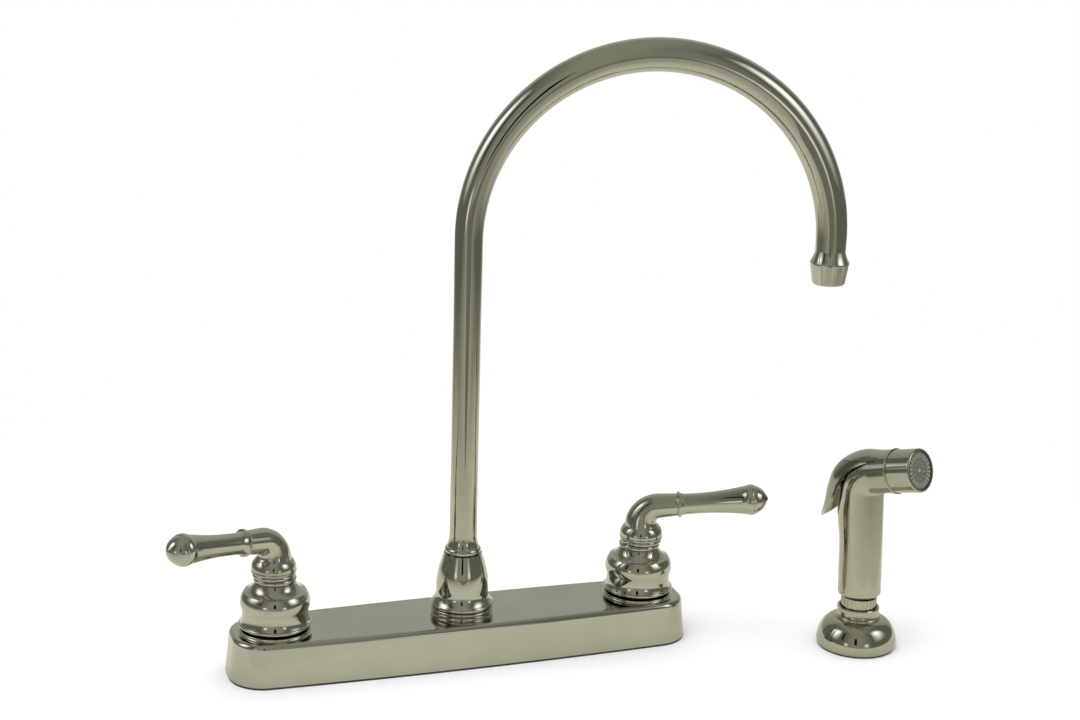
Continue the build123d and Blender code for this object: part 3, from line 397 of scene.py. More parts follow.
edge = arc_points((0.0, COVER_TOP - EDGE), (-0.82, COVER_TOP - 0.82), (-EDGE, COVER_TOP), 10)
draft = [(1.9, FOOT), (1.75, FOOT + 1.4), (1.2, FOOT + 6.8), (0.6, FOOT + 13.0), (0.0, COVER_TOP - EDGE)]
levels = [(-SKIN, COVER_TOP - SKIN), (-SKIN, FOOT), *draft, *edge, (-3.4, COVER_TOP)]
plan = [(cover_ring(grow), height) for grow, height in levels]
cover = skin("cover_skin", len(plan[0][0]), plan, lambda number, spot: number, on_plan)
pad_outline = outline((10.0, COVER_TOP - 1.0), (19.9, COVER_TOP - 1.0), (19.9, COVER_TOP),
                      ((18.95, COVER_TOP + 0.35), (18.6, COVER_TOP + 1.1)),
                      ((18.5, COVER_TOP + 1.45), (18.1, COVER_TOP + 1.6)), (10.0, COVER_TOP + 1.6),
                      (10.0, COVER_TOP - 1.0))
pads = [spun(name + "_pad", pad_outline, moved(side * HUB, 0)) for name, side in SIDES]
dress(joined("cover_skin", [cover, *pads]), chrome, "root", "chrome", "deck_cover")


# %% [markdown]
# ## Spout foot
# A low ring sits on the cover, and a pear-shaped nut turns on it with the spout. The nut
# ends in a bead where the tube comes out. All three are turned pieces, with a dark gap
# between the fixed ring and the nut that turns.

# %% Base ring, pear nut and bead
NUT_LOW, NUT_TOP, TUBE_LOW = 27.7, 57.0, 53.0
NUT_BORE, TUBE_BORE = 9.05, 7.32
TUBE_FOOT = NUT_TOP + 3.4
base_outline = outline((9.2, COVER_TOP), (16.6, COVER_TOP),
                       ((16.3, COVER_TOP + 1.6), (16.9, COVER_TOP + 2.8)),
                       ((16.7, COVER_TOP + 3.45), (16.0, COVER_TOP + 3.7)),
                       (9.2, COVER_TOP + 3.7), (9.2, COVER_TOP))
dress(spun("spout_foot_ring", base_outline), chrome, "root", "chrome", "spout_base_ring")
nut_outline = outline((NUT_BORE, NUT_LOW), (16.4, NUT_LOW), ((16.9, NUT_LOW + 1.0), (16.4, NUT_LOW + 2.2)),
                      ((15.0, NUT_LOW + 4.1), (13.95, NUT_LOW + 8.2)),
                      ((13.85, NUT_LOW + 14.2), (12.5, NUT_LOW + 21.6)), (10.2, NUT_TOP),
                      (TUBE_BORE, NUT_TOP), (TUBE_BORE, TUBE_LOW), (NUT_BORE, TUBE_LOW - 1.0),
                      (NUT_BORE, NUT_LOW), fine=16)
dress(spun("pear_nut", nut_outline), chrome, "spout", "chrome", "spout_bulb")
bead_outline = outline((TUBE_BORE, NUT_TOP), (8.85, NUT_TOP), ((9.75, NUT_TOP + 1.7), (8.85, TUBE_FOOT)),
                       (TUBE_BORE, TUBE_FOOT), (TUBE_BORE, NUT_TOP), fine=12)
dress(spun("neck_bead", bead_outline), chrome, "spout", "chrome", "spout_neck_ring")


# %% [markdown]
# ## Gooseneck
# The spout is one tube. It flares out of the bead, runs straight up, swells round the arc
# to its widest place two thirds of the way and draws in to the outlet. Its tail goes into
# the outlet collar.

# %% The tube
AZIMUTH = -10.8
RISE, ARC, HALF_TURN = 226.8, 95.8, 180
COLLAR_TOP, TAIL_END = 221.0, 214.0
FIRST_RADIUS, SWELL, WIDEST_AT = 7.33, 1.45, 120
WIDEST, DRAWN_IN = 8.8, 0.7


def tube_radius(bent):
    """Radius round the arc, in degrees from the riser: it swells, then draws in."""
    if bent <= WIDEST_AT:
        return FIRST_RADIUS + SWELL * math.sin(math.radians(90 * bent / WIDEST_AT))
    return WIDEST - DRAWN_IN * ((bent - WIDEST_AT) / (HALF_TURN - WIDEST_AT)) ** 2


foot_curve = arc_points((8.75, TUBE_FOOT), (7.85, TUBE_FOOT + 2.8), (7.35, TUBE_FOOT + 7.6), 8)
rings = [(0, TUBE_LOW, 0, 7.3), (0, TUBE_FOOT, 0, 8.75)]
rings += [(0, height, 0, radius) for radius, height in foot_curve]
rings += [(0, TUBE_FOOT + 50, 0, 7.2), (0, RISE - 80, 0, 7.2), (0, RISE - 40, 0, 7.2), (0, RISE - 15, 0, 7.3)]
for bent in range(HALF_TURN + 1):
    angle = math.radians(bent)
    rings.append((ARC * (1 - math.cos(angle)), RISE + ARC * math.sin(angle), bent, tube_radius(bent)))
rings += [(2 * ARC, height, HALF_TURN, radius) for height, radius in
          ((COLLAR_TOP, 8.0), (COLLAR_TOP, 7.7), (TAIL_END, 7.7))]
neck = ring_path("gooseneck", rings, around=128)
dress(placed(neck, turned_by(AZIMUTH)), chrome, "spout", "chrome", "spout_tube")


# %% [markdown]
# ## Handles
# Each handle is a bell, a cast elbow with a beaded neck, a thin ring and a flared grip
# with a rounded end. The lever is built along +X and turned to its side: 30 degrees
# towards the user from straight out.

# %% Bell, elbow, ring and grip
BELL_LOW, BELL_TOP, NECK_LOW, NECK_TOP, STEM_BORE = 26.9, 50.9, 45.9, 53.8, 4.05
LEVER_RISE, LEVER_CORNER, BEND, BEND_STEPS = 9.4, 73.4, 11.5, 24
LEVER_TURN, RING_OUT, HALF_RING, COLLAR_SHIFT = 30.0, 21.2, 0.65, 0.8
BEND_RADII = (9.3, 8.5, 7.7, 7.1, 6.8)
slope, turn_end = math.radians(LEVER_RISE), 90 - LEVER_RISE
bend_start = LEVER_CORNER - BEND * math.tan(math.radians(turn_end / 2))
ring_along = RING_OUT / math.cos(slope)
bell_outline = outline((17.2, BELL_LOW), (18.6, BELL_LOW), ((19.1, BELL_LOW + 0.9), (18.35, BELL_LOW + 1.9)),
                       ((17.3, BELL_LOW + 5.2), (17.7, BELL_LOW + 9.8)),
                       ((18.2, BELL_LOW + 13.8), (16.2, BELL_LOW + 18.5)),
                       ((12.7, BELL_TOP - 3.4), (10.8, BELL_TOP - 0.2)), (10.5, BELL_TOP), (9.02, BELL_TOP),
                       (9.02, BELL_LOW + 21.5), (12.0, BELL_LOW + 19.2), (15.2, BELL_LOW + 15.6),
                       (15.2, BELL_LOW + 3.4), (17.2, BELL_LOW), fine=16)
foot_outline = outline((STEM_BORE, NECK_LOW), (9.0, NECK_LOW), (9.0, BELL_TOP), (10.2, BELL_TOP),
                       ((11.2, BELL_TOP + 1.4), (10.2, BELL_TOP + 2.7)), (10.0, NECK_TOP),
                       (STEM_BORE, NECK_TOP), (STEM_BORE, NECK_LOW), fine=12)
collar_outline = outline((STEM_BORE, NECK_TOP), (10.6, NECK_TOP),
                         ((11.3, NECK_TOP + 1.1), (10.8, NECK_TOP + 2.2)), (11.2, NECK_TOP + 2.3),
                         ((11.8, NECK_TOP + 2.9), (11.7, NECK_TOP + 3.9)),
                         ((11.1, NECK_TOP + 7.4), (9.3, bend_start)),
                         (STEM_BORE, bend_start), (STEM_BORE, NECK_TOP), fine=12)
grip_outline = outline((0, HALF_RING), (6.4, HALF_RING), ((5.85, 2.4), (5.7, 5.0)),
                       ((5.9, 19.0), (7.9, 37.0)), ((8.35, 39.7), (7.75, 41.7)), (7.5, 41.9),
                       ((5.9, 44.9), (2.2, 47.7)), (0.9, 48.4), (0, 48.6), fine=18)
ring_outline = outline((3.52, -HALF_RING), (6.8, -HALF_RING), ((7.3, 0.0), (6.8, HALF_RING)),
                       (3.52, HALF_RING), (3.52, -HALF_RING))


def bend_size(share):
    """Radius round the elbow, between the radii given for each quarter of the bend."""
    step = min(int(share * 4), len(BEND_RADII) - 2)
    part = share * 4 - step
    return BEND_RADII[step] + (BEND_RADII[step + 1] - BEND_RADII[step]) * part


def lever_place(side, height=0.0):
    """On a bell's axis, turned towards the user from straight out."""
    return moved(side * HUB, 0, height) @ turned_by(-LEVER_TURN if side > 0 else 180 + LEVER_TURN)


def lever_point(distance):
    """A point on the lever's axis, from where it meets the bell's axis."""
    return distance * math.cos(slope), LEVER_CORNER + distance * math.sin(slope)


for name, side in SIDES:
    place, handle = lever_place(side), name + "_handle"
    on_lever = place @ along(*lever_point(ring_along), turn_end)
    rings = []
    for number in range(BEND_STEPS + 1):
        share = number / BEND_STEPS
        angle = math.radians(turn_end * share)
        rings.append((BEND * (1 - math.cos(angle)) + COLLAR_SHIFT * (1 - share),
                      bend_start + BEND * math.sin(angle), turn_end * share, bend_size(share)))
    rings.append((*lever_point(ring_along - HALF_RING), turn_end, 6.2))
    bell = spun(name + "_bell_skirt", bell_outline, place, around=128)
    dress(bell, chrome, handle, "chrome", name + "_bell")
    elbow = [placed(ring_path(name + "_arm", rings), place), spun(name + "_foot", foot_outline, place),
             spun(name + "_collar", collar_outline, place @ moved(COLLAR_SHIFT, 0))]
    dress(joined(name + "_cast_elbow", elbow), chrome, handle, "chrome", name + "_elbow")
    dress(spun(name + "_thin_ring", ring_outline, on_lever), chrome, handle, "chrome", name + "_grip_ring")
    dress(spun(name + "_flared_grip", grip_outline, on_lever), chrome, handle, "chrome", name + "_grip")


# %% [markdown]
# The lever is held on its stem by a small screw with a hexagon socket, set under the arm.
# Its outline runs from the socket's floor over the rim and is spun in six steps.

# %% Set screws
SCREW_HEIGHT = 65.8
screw_outline = outline((0.0, 6.6), (1.2, 6.6), (1.2, 8.6), (1.9, 8.6), (2.08, 8.4), (2.08, 4.3), (0.0, 4.3))
for name, side in SIDES:
    place = lever_place(side, SCREW_HEIGHT) @ turned_by(90, "Y")
    dress(spun(name + "_socket_screw", screw_outline, place, around=6, angle=20),
          SLOT_FINISH["stainless"], name + "_handle", "stainless", name + "_set_screw")


# %% [markdown]
# ## Outlet collar
# The collar at the end of the spout is screwed on by hand or with a spanner, so ten flats
# are cut round its taper. A ring whose radius is a formula of the angle draws both: round
# above the shoulder, and a ten-sided figure below it.

# %% Collar with ten flats
FLATS, COLLAR_LOW = 10, 203.2


def flatted(radius, cut_in):
    """A ring of that radius with its flats, each cut in that deep."""
    def size(angle):
        off = (angle + math.pi / FLATS) % (math.tau / FLATS) - math.pi / FLATS
        return min(radius, (radius - cut_in) / math.cos(off))
    return size


collar_rings = [(0, 213.0, 0, 7.75), (0, COLLAR_TOP, 0, 7.85)]
collar_rings += [(0, height, 0, radius) for radius, height in
                 arc_points((7.85, COLLAR_TOP), (8.6, 218.4), (10.3, 215.0), 10)]
collar_rings += [(0, height, 0, radius) for height, radius in (
    (214.2, flatted(10.3, 0.0)), (213.7, flatted(10.2, 0.45)), (COLLAR_LOW + 1.0, flatted(8.75, 0.45)),
    (COLLAR_LOW + 0.4, flatted(8.5, 0.3)), (COLLAR_LOW, 8.1), (COLLAR_LOW, 7.5), (209.0, 7.5), (209.0, 7.2),
    (212.8, 7.2))]
collar = ring_path("outlet_collar", collar_rings, around=120, angle=24)
dress(placed(collar, turned_by(AZIMUTH) @ moved(2 * ARC, 0)), chrome, "spout", "chrome", "aerator_shell")


# %% [markdown]
# ## Spray guide
# The spray rests in a cup on a wide flange. The flange is one turned piece with the cup
# and the shank that goes down through the deck.

# %% Flange, cup and shank
GUIDE_PLACE, GUIDE_TURN, GUIDE_SHANK = (213.9, -48.0), -63.0, -34.0
spray_place = moved(*GUIDE_PLACE) @ turned_by(GUIDE_TURN)
guide_outline = outline((8.2, GUIDE_SHANK), (12.3, GUIDE_SHANK), (12.3, 1.0), (14.5, 1.0), (14.5, 8.0),
                        (18.5, 7.0), (19.6, 1.0), (21.3, 1.0), (21.8, 2.0), ((21.4, 6.8), (19.1, 12.2)),
                        ((17.0, 14.6), (13.6, 16.4)), (12.4, 16.7), ((12.5, 17.5), (11.7, 18.2)),
                        (11.5, 18.6), (11.5, 22.7), (11.0, 23.2), (10.3, 23.2), (10.3, 12.5), (8.2, 12.5),
                        (8.2, GUIDE_SHANK), fine=16)
guide = spun("guide_flange", guide_outline, spray_place, around=128)
dress(guide, plated, "root", "chrome_plastic", "spray_guide")


# %% [markdown]
# ## Spray handle and head
# The handle is a tube that leans back a little, swells at the back under the thumb and
# turns through a tight bend into the nozzle. It is carried along its own line as rings,
# and the swell is in the ring's formula, so the skin stays in one smooth piece.

# %% The handle's line and its rings
SPRAY_LOW, SPRAY_CORNER, SPRAY_LEAN, NOZZLE_RISE, HEAD_BEND = 29.0, 100.0, 2.7, 15.6, 13.0
HANDLE_GIRTH, HEAD_GIRTH, NOZZLE_RING_OUT, HALF_BEAD = 11.8, 11.7, 18.8, 0.65
ROUNDED_TOP, SWELL_FROM, SWELL_OVER, SWELL_DEPTH = 32.4, 60, 35, 1.9
HANDLE_STEPS, HEAD_STEPS, BARREL_STEPS = 40, 30, 8
lean, rise = math.radians(SPRAY_LEAN), math.radians(NOZZLE_RISE)
line_length = (SPRAY_CORNER - SPRAY_LOW) / (math.cos(lean) + math.sin(lean) * math.tan(rise))
set_back = line_length * math.sin(lean) / math.cos(rise)
head_turn = 90 - NOZZLE_RISE + SPRAY_LEAN
tangent = HEAD_BEND * math.tan(math.radians(head_turn / 2))
bend_foot = SPRAY_LOW + line_length - tangent


def leaned(out, up_, turned_so_far, radius):
    """A ring of the upright handle, leaned back about its foot."""
    height = up_ - SPRAY_LOW
    return (out * math.cos(lean) - height * math.sin(lean),
            SPRAY_LOW + out * math.sin(lean) + height * math.cos(lean), turned_so_far - SPRAY_LEAN, radius)


def with_swell(height, girth):
    """A round ring that is fuller at the back between 60 and 95 mm up."""
    share = min(max((height - SWELL_FROM) / SWELL_OVER, 0.0), 1.0)
    swell = SWELL_DEPTH * math.sin(math.pi * share) ** 1.5
    return lambda angle: girth + swell * max(0.0, -math.cos(angle)) ** 1.6


def nozzle_point(distance):
    """A point on the nozzle's axis, from where it meets the guide's axis."""
    return distance * math.cos(rise), SPRAY_CORNER + distance * math.sin(rise)


handle_rings = [leaned(0, height, 0, radius) for radius, height in
                outline((10.3, 29.5), ((11.4, 30.5), (HANDLE_GIRTH, ROUNDED_TOP)), fine=6)]
for number in range(1, HANDLE_STEPS + 1):
    height = ROUNDED_TOP + (bend_foot - ROUNDED_TOP) * number / HANDLE_STEPS
    handle_rings.append(leaned(0, height, 0, with_swell(height, HANDLE_GIRTH - 0.1 * number / HANDLE_STEPS)))
for number in range(1, HEAD_STEPS + 1):
    bent = head_turn * number / HEAD_STEPS
    height = bend_foot + HEAD_BEND * math.sin(math.radians(bent))
    handle_rings.append(leaned(HEAD_BEND * (1 - math.cos(math.radians(bent))), height, bent,
                               with_swell(height, HEAD_GIRTH)))
barrel_start, barrel_end = tangent - set_back, NOZZLE_RING_OUT - HALF_BEAD
for number in range(1, BARREL_STEPS + 1):
    distance = barrel_start + (barrel_end - barrel_start) * number / BARREL_STEPS
    handle_rings.append((*nozzle_point(distance), 90 - NOZZLE_RISE, HEAD_GIRTH + 0.3 * number / BARREL_STEPS))
print("handle rings", len(handle_rings), "bend starts at", round(bend_foot, 1))


# %% [markdown]
# ## Trigger and ridge
# The thumb trigger is a pointed shell that lies over the back of the head, and a ridge in
# the same surface runs on to the nozzle. Both are cut from one horn: a boolean with a side
# view of the trigger keeps its part, and a second one keeps the ridge above the slit.

# %% The horn and the cutting blocks
HORN = ((-18.9, 64.4, 24, 9.4), (-15.2, 75.7, 20, 10.4), (-12.6, 85.4, 20, 11.4), (-8.7, 94.4, 35, 12.1),
        (-0.4, 100.2, 62, 12.4), (9.5, 102.2, 74, 12.4), (16.0, 104.0, 74, 12.0))
TRIGGER_TRAVEL, PIVOT = 8.0, (7.0, 108.0)
SLIT_FRONT, SLIT_BACK = (8.5, 109.8), (-15.0, 104.6)
TRIGGER_LOW, BEHIND, ABOVE = 68.4, -45.0, 150.0


def smooth_rings(stations, shrink=0.0, reach=0.0, steps=9):
    """Rings on a smooth line through the stations, with both ends drawn out by reach."""
    def ahead(station, distance):
        """A station moved along its own axis."""
        out, up_, lean_here, girth = station
        tilt = math.radians(lean_here)
        return (out + distance * math.sin(tilt), up_ + distance * math.cos(tilt), lean_here, girth)
    chain = [ahead(stations[0], -reach), *stations, ahead(stations[-1], reach)] if reach else list(stations)
    padded = [chain[0], *chain, chain[-1]]
    made = []
    for p, a, b, q in zip(padded, padded[1:], padded[2:], padded[3:]):
        for number in range(steps):
            t = number / steps
            made.append(tuple(0.5 * (2 * v + (w - u) * t + (2 * u - 5 * v + 4 * w - x) * t**2
                                     + (3 * v - u - 3 * w + x) * t**3) for u, v, w, x in zip(p, a, b, q)))
    made.append(chain[-1])
    return [(out, up_, tilt, girth - shrink) for out, up_, tilt, girth in made]


def slit_height(out):
    """Height of the slit between the ridge and the trigger."""
    fall = (SLIT_FRONT[1] - SLIT_BACK[1]) / (SLIT_FRONT[0] - SLIT_BACK[0])
    return SLIT_FRONT[1] + fall * (out - SLIT_FRONT[0])


def trigger_view(grow):
    """The trigger seen from the side, as an outline in the spray's own plane."""
    corner = SLIT_FRONT[0] + 8 * grow
    return outline((corner, slit_height(corner) + grow),
                   ((-7.6 + 2 * grow, 98.6 - grow), (-14.5 + grow, 85.0)),
                   ((-20.5 + grow, 76.0 - grow), (-27.2, TRIGGER_LOW - grow)),
                   (BEHIND, TRIGGER_LOW - grow), (BEHIND, slit_height(BEHIND) + grow), fine=24)


def block(name, points, half_width=20.0):
    """A block across the head whose side view is that outline."""
    piece = drawn(name, points, -half_width)
    bpy.ops.mesh.edge_face_add()
    bpy.ops.mesh.extrude_region_move(TRANSFORM_OT_translate={"value": (0, 2 * half_width * MM, 0)})
    close_edit(piece)
    return piece


def cut(piece, tool, how="DIFFERENCE"):
    """Applies a boolean with a tool, and throws the tool away."""
    select_only(piece)
    bpy.ops.object.modifier_add(type="BOOLEAN")
    modifier = piece.modifiers[-1]
    modifier.operation = how
    modifier.object = tool
    modifier.solver = "EXACT"
    bpy.ops.object.modifier_apply(modifier=modifier.name)
    bpy.data.objects.remove(tool, do_unlink=True)
    return piece


def pressed(piece):
    """The piece turned about the trigger's pivot by its whole travel."""
    return placed(piece, moved(PIVOT[0], 0, PIVOT[1]) @ turned_by(-TRIGGER_TRAVEL, "Y")
                  @ moved(-PIVOT[0], 0, -PIVOT[1]))


def horn(name, shrink=0.0, reach=0.0):
    """The horn that the trigger and the ridge are cut from, or a slimmer core of it."""
    return ring_path(name, smooth_rings(HORN, shrink, reach))


# %% [markdown]
# The head keeps clear of the trigger over its whole travel: the trigger's own side view,
# at rest and pressed, is cut out of it, but not the core that lies inside the shell.

# %% Cutting the trigger and the head
WALL, CLEAR, PAST_END = 1.2, 0.3, 3.0
trigger = cut(horn("thumb_trigger"), block("trigger_view", trigger_view(0.0)), "INTERSECT")
trigger = cut(trigger, horn("trigger_inside", WALL, PAST_END))
head = ring_path("spray_head_skin", handle_rings, around=128)
ridge_view = [(out, slit_height(out) + CLEAR) for out in (-40.0, NOZZLE_RING_OUT - 5)]
ridge_view += [(out, ABOVE) for out, height in reversed(ridge_view)]
head = cut(head, cut(horn("ridge"), block("above_slit", ridge_view), "INTERSECT"), "UNION")
for name, shift in (("rest", lambda piece: piece), ("pressed", pressed)):
    room = cut(block("room_" + name, trigger_view(CLEAR)), horn("core", WALL + CLEAR, PAST_END))
    head = cut(head, shift(room))
for piece in (trigger, head):
    select_only(piece)
    bpy.ops.object.mode_set(mode="EDIT")
    close_edit(piece, 30)
    placed(piece, spray_place)
dress(head, plated, "spray_head", "chrome_plastic", "spray_body")
dress(trigger, smoked, "spray_trigger_lever", "chrome_plastic", "spray_trigger")


# %% [markdown]
# ## Nozzle
# A bright bead, the cap and a dark face. Pale radial jets stand round its rim, with a ring
# of small round ones and a single one in the middle inside them.

# %% Bead, cap and face
JETS, JET_OUT, JET_HEIGHT, JET_BASE = 24, 8.15, 0.35, 14.3
DOTS, DOT_OUT, CAP_INSIDE, FACE_FRONT = 10, 4.4, 11.3, 13.9
nozzle_place = spray_place @ along(*nozzle_point(NOZZLE_RING_OUT), 90 - NOZZLE_RISE)
bead = outline((7.02, -HALF_BEAD), (12.0, -HALF_BEAD), ((12.4, 0.0), (12.0, HALF_BEAD)),
               (7.02, HALF_BEAD), (7.02, -HALF_BEAD))
dress(spun("nozzle_bead", bead, nozzle_place), plated, "spray_head", "chrome_plastic", "nozzle_ring")
cap = outline((4.0, 4.0), (7.0, HALF_BEAD), (11.7, HALF_BEAD), (11.8, 14.1), ((11.5, 15.0), (10.7, 15.3)),
              (10.2, 15.3), (10.2, CAP_INSIDE), (4.0, CAP_INSIDE), (4.0, 4.0))
barrel = spun("nozzle_barrel", cap, nozzle_place, around=128)
dress(barrel, plated, "spray_head", "chrome_plastic", "nozzle_cap")
face_dark = finish("nozzle_face", (0.11, 0.11, 0.09), (0.14, 0.14, 0.115), 0.25, 0.4, bump=0.05, metal=0.0)
jet_light = finish("nozzle_jets", (0.34, 0.34, 0.29), (0.28, 0.28, 0.24), 0.3, 0.45, bump=0.05, metal=0.0)
plate = outline((0.0, 11.35), (10.15, 11.35), (10.15, 14.3), ((9.9, 14.5), (9.5, 14.5)), (6.6, 14.5),
                ((6.2, 14.4), (5.8, 14.1)), (2.2, FACE_FRONT), (0.0, FACE_FRONT), (0.0, 11.35))
dress(spun("face_plate", plate, nozzle_place), face_dark, "spray_head", "grey_plastic", "spray_face")
jets = []
for number in range(JETS):
    jet = add_plane(f"jet_{number}")
    bpy.ops.transform.resize(value=(2.5, 0.9, 1.0))
    bpy.ops.mesh.extrude_region_move(TRANSFORM_OT_translate={"value": (0, 0, JET_HEIGHT * MM)})
    close_edit(jet)
    jets.append(placed(jet, nozzle_place @ turned_by(360 / JETS * number) @ moved(JET_OUT, 0, JET_BASE)))
dot_outline = outline((0.0, 13.7), (0.38, 13.7), ((0.3, 14.25), (0.0, 14.3)), fine=4)
for number in range(DOTS):
    dot_place = nozzle_place @ turned_by(360 / DOTS * number) @ moved(DOT_OUT, 0)
    jets.append(spun(f"dot_{number}", dot_outline, dot_place, around=12))
middle_outline = outline((0.0, 13.7), (1.1, 13.7), ((0.8, 14.5), (0.0, 14.6)), fine=6)
jets.append(spun("middle_jet", middle_outline, nozzle_place, around=24))
dress(joined("face_jets", jets), jet_light, "spray_head", "grey_plastic")


# %% [markdown]
# ## Studio floor
# The faucet stands on a white floor, which is all that the camera sees round it. Close to
# the faucet the floor is matt and takes its soft shadow. Further out it goes over into
# plain white by Light Path, so there is no horizon behind the spout. In the mirror of the
# metal the same floor is a little khaki. A plain white sheet just under it goes on round
# it for views from other sides.

# %% White floor
def on_floor(right_, ahead, up_=0.0):
    """A point of the room: to the camera's right and ahead of it on the floor, in metres."""
    level = Vector((look.x, look.y, 0)).normalized()
    side_ = Vector((level.y, -level.x, 0))
    return Vector((CAMERA_PLACE[0], CAMERA_PLACE[1], up_)) + side_ * right_ + level * ahead


def lying(half_width, near, far, height):
    """Corners of a level plane, as wide to the left as to the right."""
    return [on_floor(-half_width, near, height), on_floor(half_width, near, height),
            on_floor(half_width, far, height), on_floor(-half_width, far, height)]


def standing(start, end, low, high):
    """Corners of an upright plane between two points, each (right, ahead)."""
    return [on_floor(*start, low), on_floor(*end, low), on_floor(*end, high), on_floor(*start, high)]


def stage_plane(name, corners, material, unseen=()):
    """A four-cornered plane of the stage, that the named kinds of ray pass by."""
    bpy.ops.object.select_all(action="DESELECT")
    bpy.ops.mesh.primitive_plane_add(size=2)
    plane = bpy.context.active_object
    plane.name = plane.data.name = name
    for vertex, corner in zip(plane.data.vertices, (corners[0], corners[1], corners[3], corners[2])):
        vertex.co = corner
    plane.data.materials.append(material)
    for ray in unseen:
        setattr(plane, "visible_" + ray, False)


def empty_material(name):
    """A material with nothing but its output."""
    made = bpy.data.materials.new(name)
    made.use_nodes = True
    tree = made.node_tree
    tree.nodes.remove(tree.nodes["Principled BSDF"])
    return made, tree, tree.nodes["Material Output"].inputs["Surface"]


def maths(tree, how, first, second):
    """A Math node of two sockets or numbers."""
    made = node(tree, "ShaderNodeMath", operation=how)
    for socket, value in zip(made.inputs, (first, second)):
        if isinstance(value, (int, float)):
            socket.default_value = value
        else:
            tree.links.new(value, socket)
    return made.outputs["Value"]


def mixed(tree, share, first, second):
    """Two shaders mixed by a share, as a shader socket."""
    blend = tree.nodes.new("ShaderNodeMixShader")
    for source, socket in zip((share, first, second), blend.inputs):
        tree.links.new(source, socket)
    return blend.outputs["Shader"]


def length_of(tree, vector):
    """The length of a vector socket."""
    away = node(tree, "ShaderNodeVectorMath", operation="LENGTH")
    tree.links.new(vector, away.inputs[0])
    return away.outputs["Value"]


def off_middle(tree, turn_z=0.0):
    """Object coordinates from the middle of the room, turned about Z, as a vector socket."""
    place = tree.nodes.new("ShaderNodeTexCoord")
    shift = node(tree, "ShaderNodeVectorMath", operation="SUBTRACT")
    shift.inputs[1].default_value = MIDDLE
    spin = node(tree, "ShaderNodeVectorRotate", rotation_type="Z_AXIS", Angle=turn_z)
    tree.links.new(place.outputs["Object"], shift.inputs[0])
    tree.links.new(shift.outputs[0], spin.inputs["Vector"])
    return spin.outputs["Vector"]


MIDDLE_AHEAD = 0.98
MIDDLE = on_floor(0.0, MIDDLE_AHEAD)
ROOM_TURN = math.atan2(look.x, look.y)
MATT_REACH, PLAIN_REACH = 0.26, 0.52
white_floor, tree, surface = empty_material("white_floor")
paper = node(tree, "ShaderNodeBsdfDiffuse")
plain_white = node(tree, "ShaderNodeEmission", Strength=1.0)
rays = tree.nodes.new("ShaderNodeLightPath")
mirrored = rays.outputs["Is Glossy Ray"]
tree.links.new(ramp(tree, mirrored, (0.93, 0.93, 0.93), (0.77, 0.76, 0.66)), paper.inputs["Color"])
tree.links.new(ramp(tree, mirrored, (1.0, 1.0, 1.0), (0.82, 0.81, 0.70)), plain_white.inputs["Color"])
seen = maths(tree, "MAXIMUM", rays.outputs["Is Camera Ray"],
             maths(tree, "MAXIMUM", mirrored, rays.outputs["Is Transmission Ray"]))
far_off = ramp(tree, length_of(tree, off_middle(tree)), 0.0, 1.0, MATT_REACH, PLAIN_REACH)
tree.links.new(mixed(tree, maths(tree, "MULTIPLY", seen, far_off), paper.outputs["BSDF"],
                     plain_white.outputs["Emission"]), surface)
stage_plane("floor", [on_floor(-0.275, 0.885), on_floor(0.275, 0.885), on_floor(1.75, 6.2),
                      on_floor(-1.75, 6.2)], white_floor)
plain, tree, surface = empty_material("plain_white")
tree.links.new(node(tree, "ShaderNodeEmission", Strength=1.0).outputs["Emission"], surface)
stage_plane("floor_round", lying(3, -1.2, 4.0, -0.002), plain,
            ("diffuse", "glossy", "transmission", "shadow"))
print("floor laid round", [round(value, 3) for value in MIDDLE])


# %% [markdown]
# ## What the chrome mirrors
# Chrome only looks like chrome when there is something to mirror. A studio gives it an
# olive grey room, dark at the sides, and soft white panels left and right. The room is
# made of cards that stand outside the picture: they show in the mirror of the metal, not
# to the camera, and they light nothing, so the lamp and the world alone set the light.

# %% Room of cards
NEAR, FAR, HALF, WALL_ASIDE, CEILING = -1.4, 3.0, 4, 2.4, 2.7
SKIRT, TOP = -0.1, 3
MIRROR_ONLY = ("camera", "shadow", "diffuse")
OLIVE, DIM, DARK, DUSK = (0.66, 0.65, 0.54), (0.42, 0.43, 0.36), (0.20, 0.215, 0.18), (0.27, 0.28, 0.235)


def glow_card(name, corners, colour, dark=None, reach=(0.2, 0.9), pale=None):
    """A glowing card that only the metal mirrors; it darkens sideways from the middle.

    The reach says where that starts and ends, in metres. A pale colour spills round the middle.
    """
    made, tree, surface = empty_material(name)
    glow = node(tree, "ShaderNodeEmission", Strength=1.0)
    spot = off_middle(tree, ROOM_TURN)
    parts = node(tree, "ShaderNodeSeparateXYZ")
    tree.links.new(spot, parts.inputs["Vector"])
    aside = maths(tree, "MULTIPLY", maths(tree, "ABSOLUTE", parts.outputs["X"], 0.0), 0.25)
    shade = ramp(tree, aside, colour, dark or colour, reach[0] / 4, reach[1] / 4)
    if pale:
        squeeze = node(tree, "ShaderNodeVectorMath", operation="MULTIPLY")
        squeeze.inputs[1].default_value = (0.5, 1.0, 1.0)
        tree.links.new(spot, squeeze.inputs[0])
        spill = node(tree, "ShaderNodeMixRGB", Color1=(*pale, 1))
        far_off = ramp(tree, length_of(tree, squeeze.outputs[0]), 0.0, 1.0, 0.10, 0.36)
        tree.links.new(far_off, spill.inputs["Fac"])
        tree.links.new(shade, spill.inputs["Color2"])
        shade = spill.outputs["Color"]
    tree.links.new(shade, glow.inputs["Color"])
    tree.links.new(glow.outputs["Emission"], surface)
    stage_plane(name, corners, made, MIRROR_ONLY)


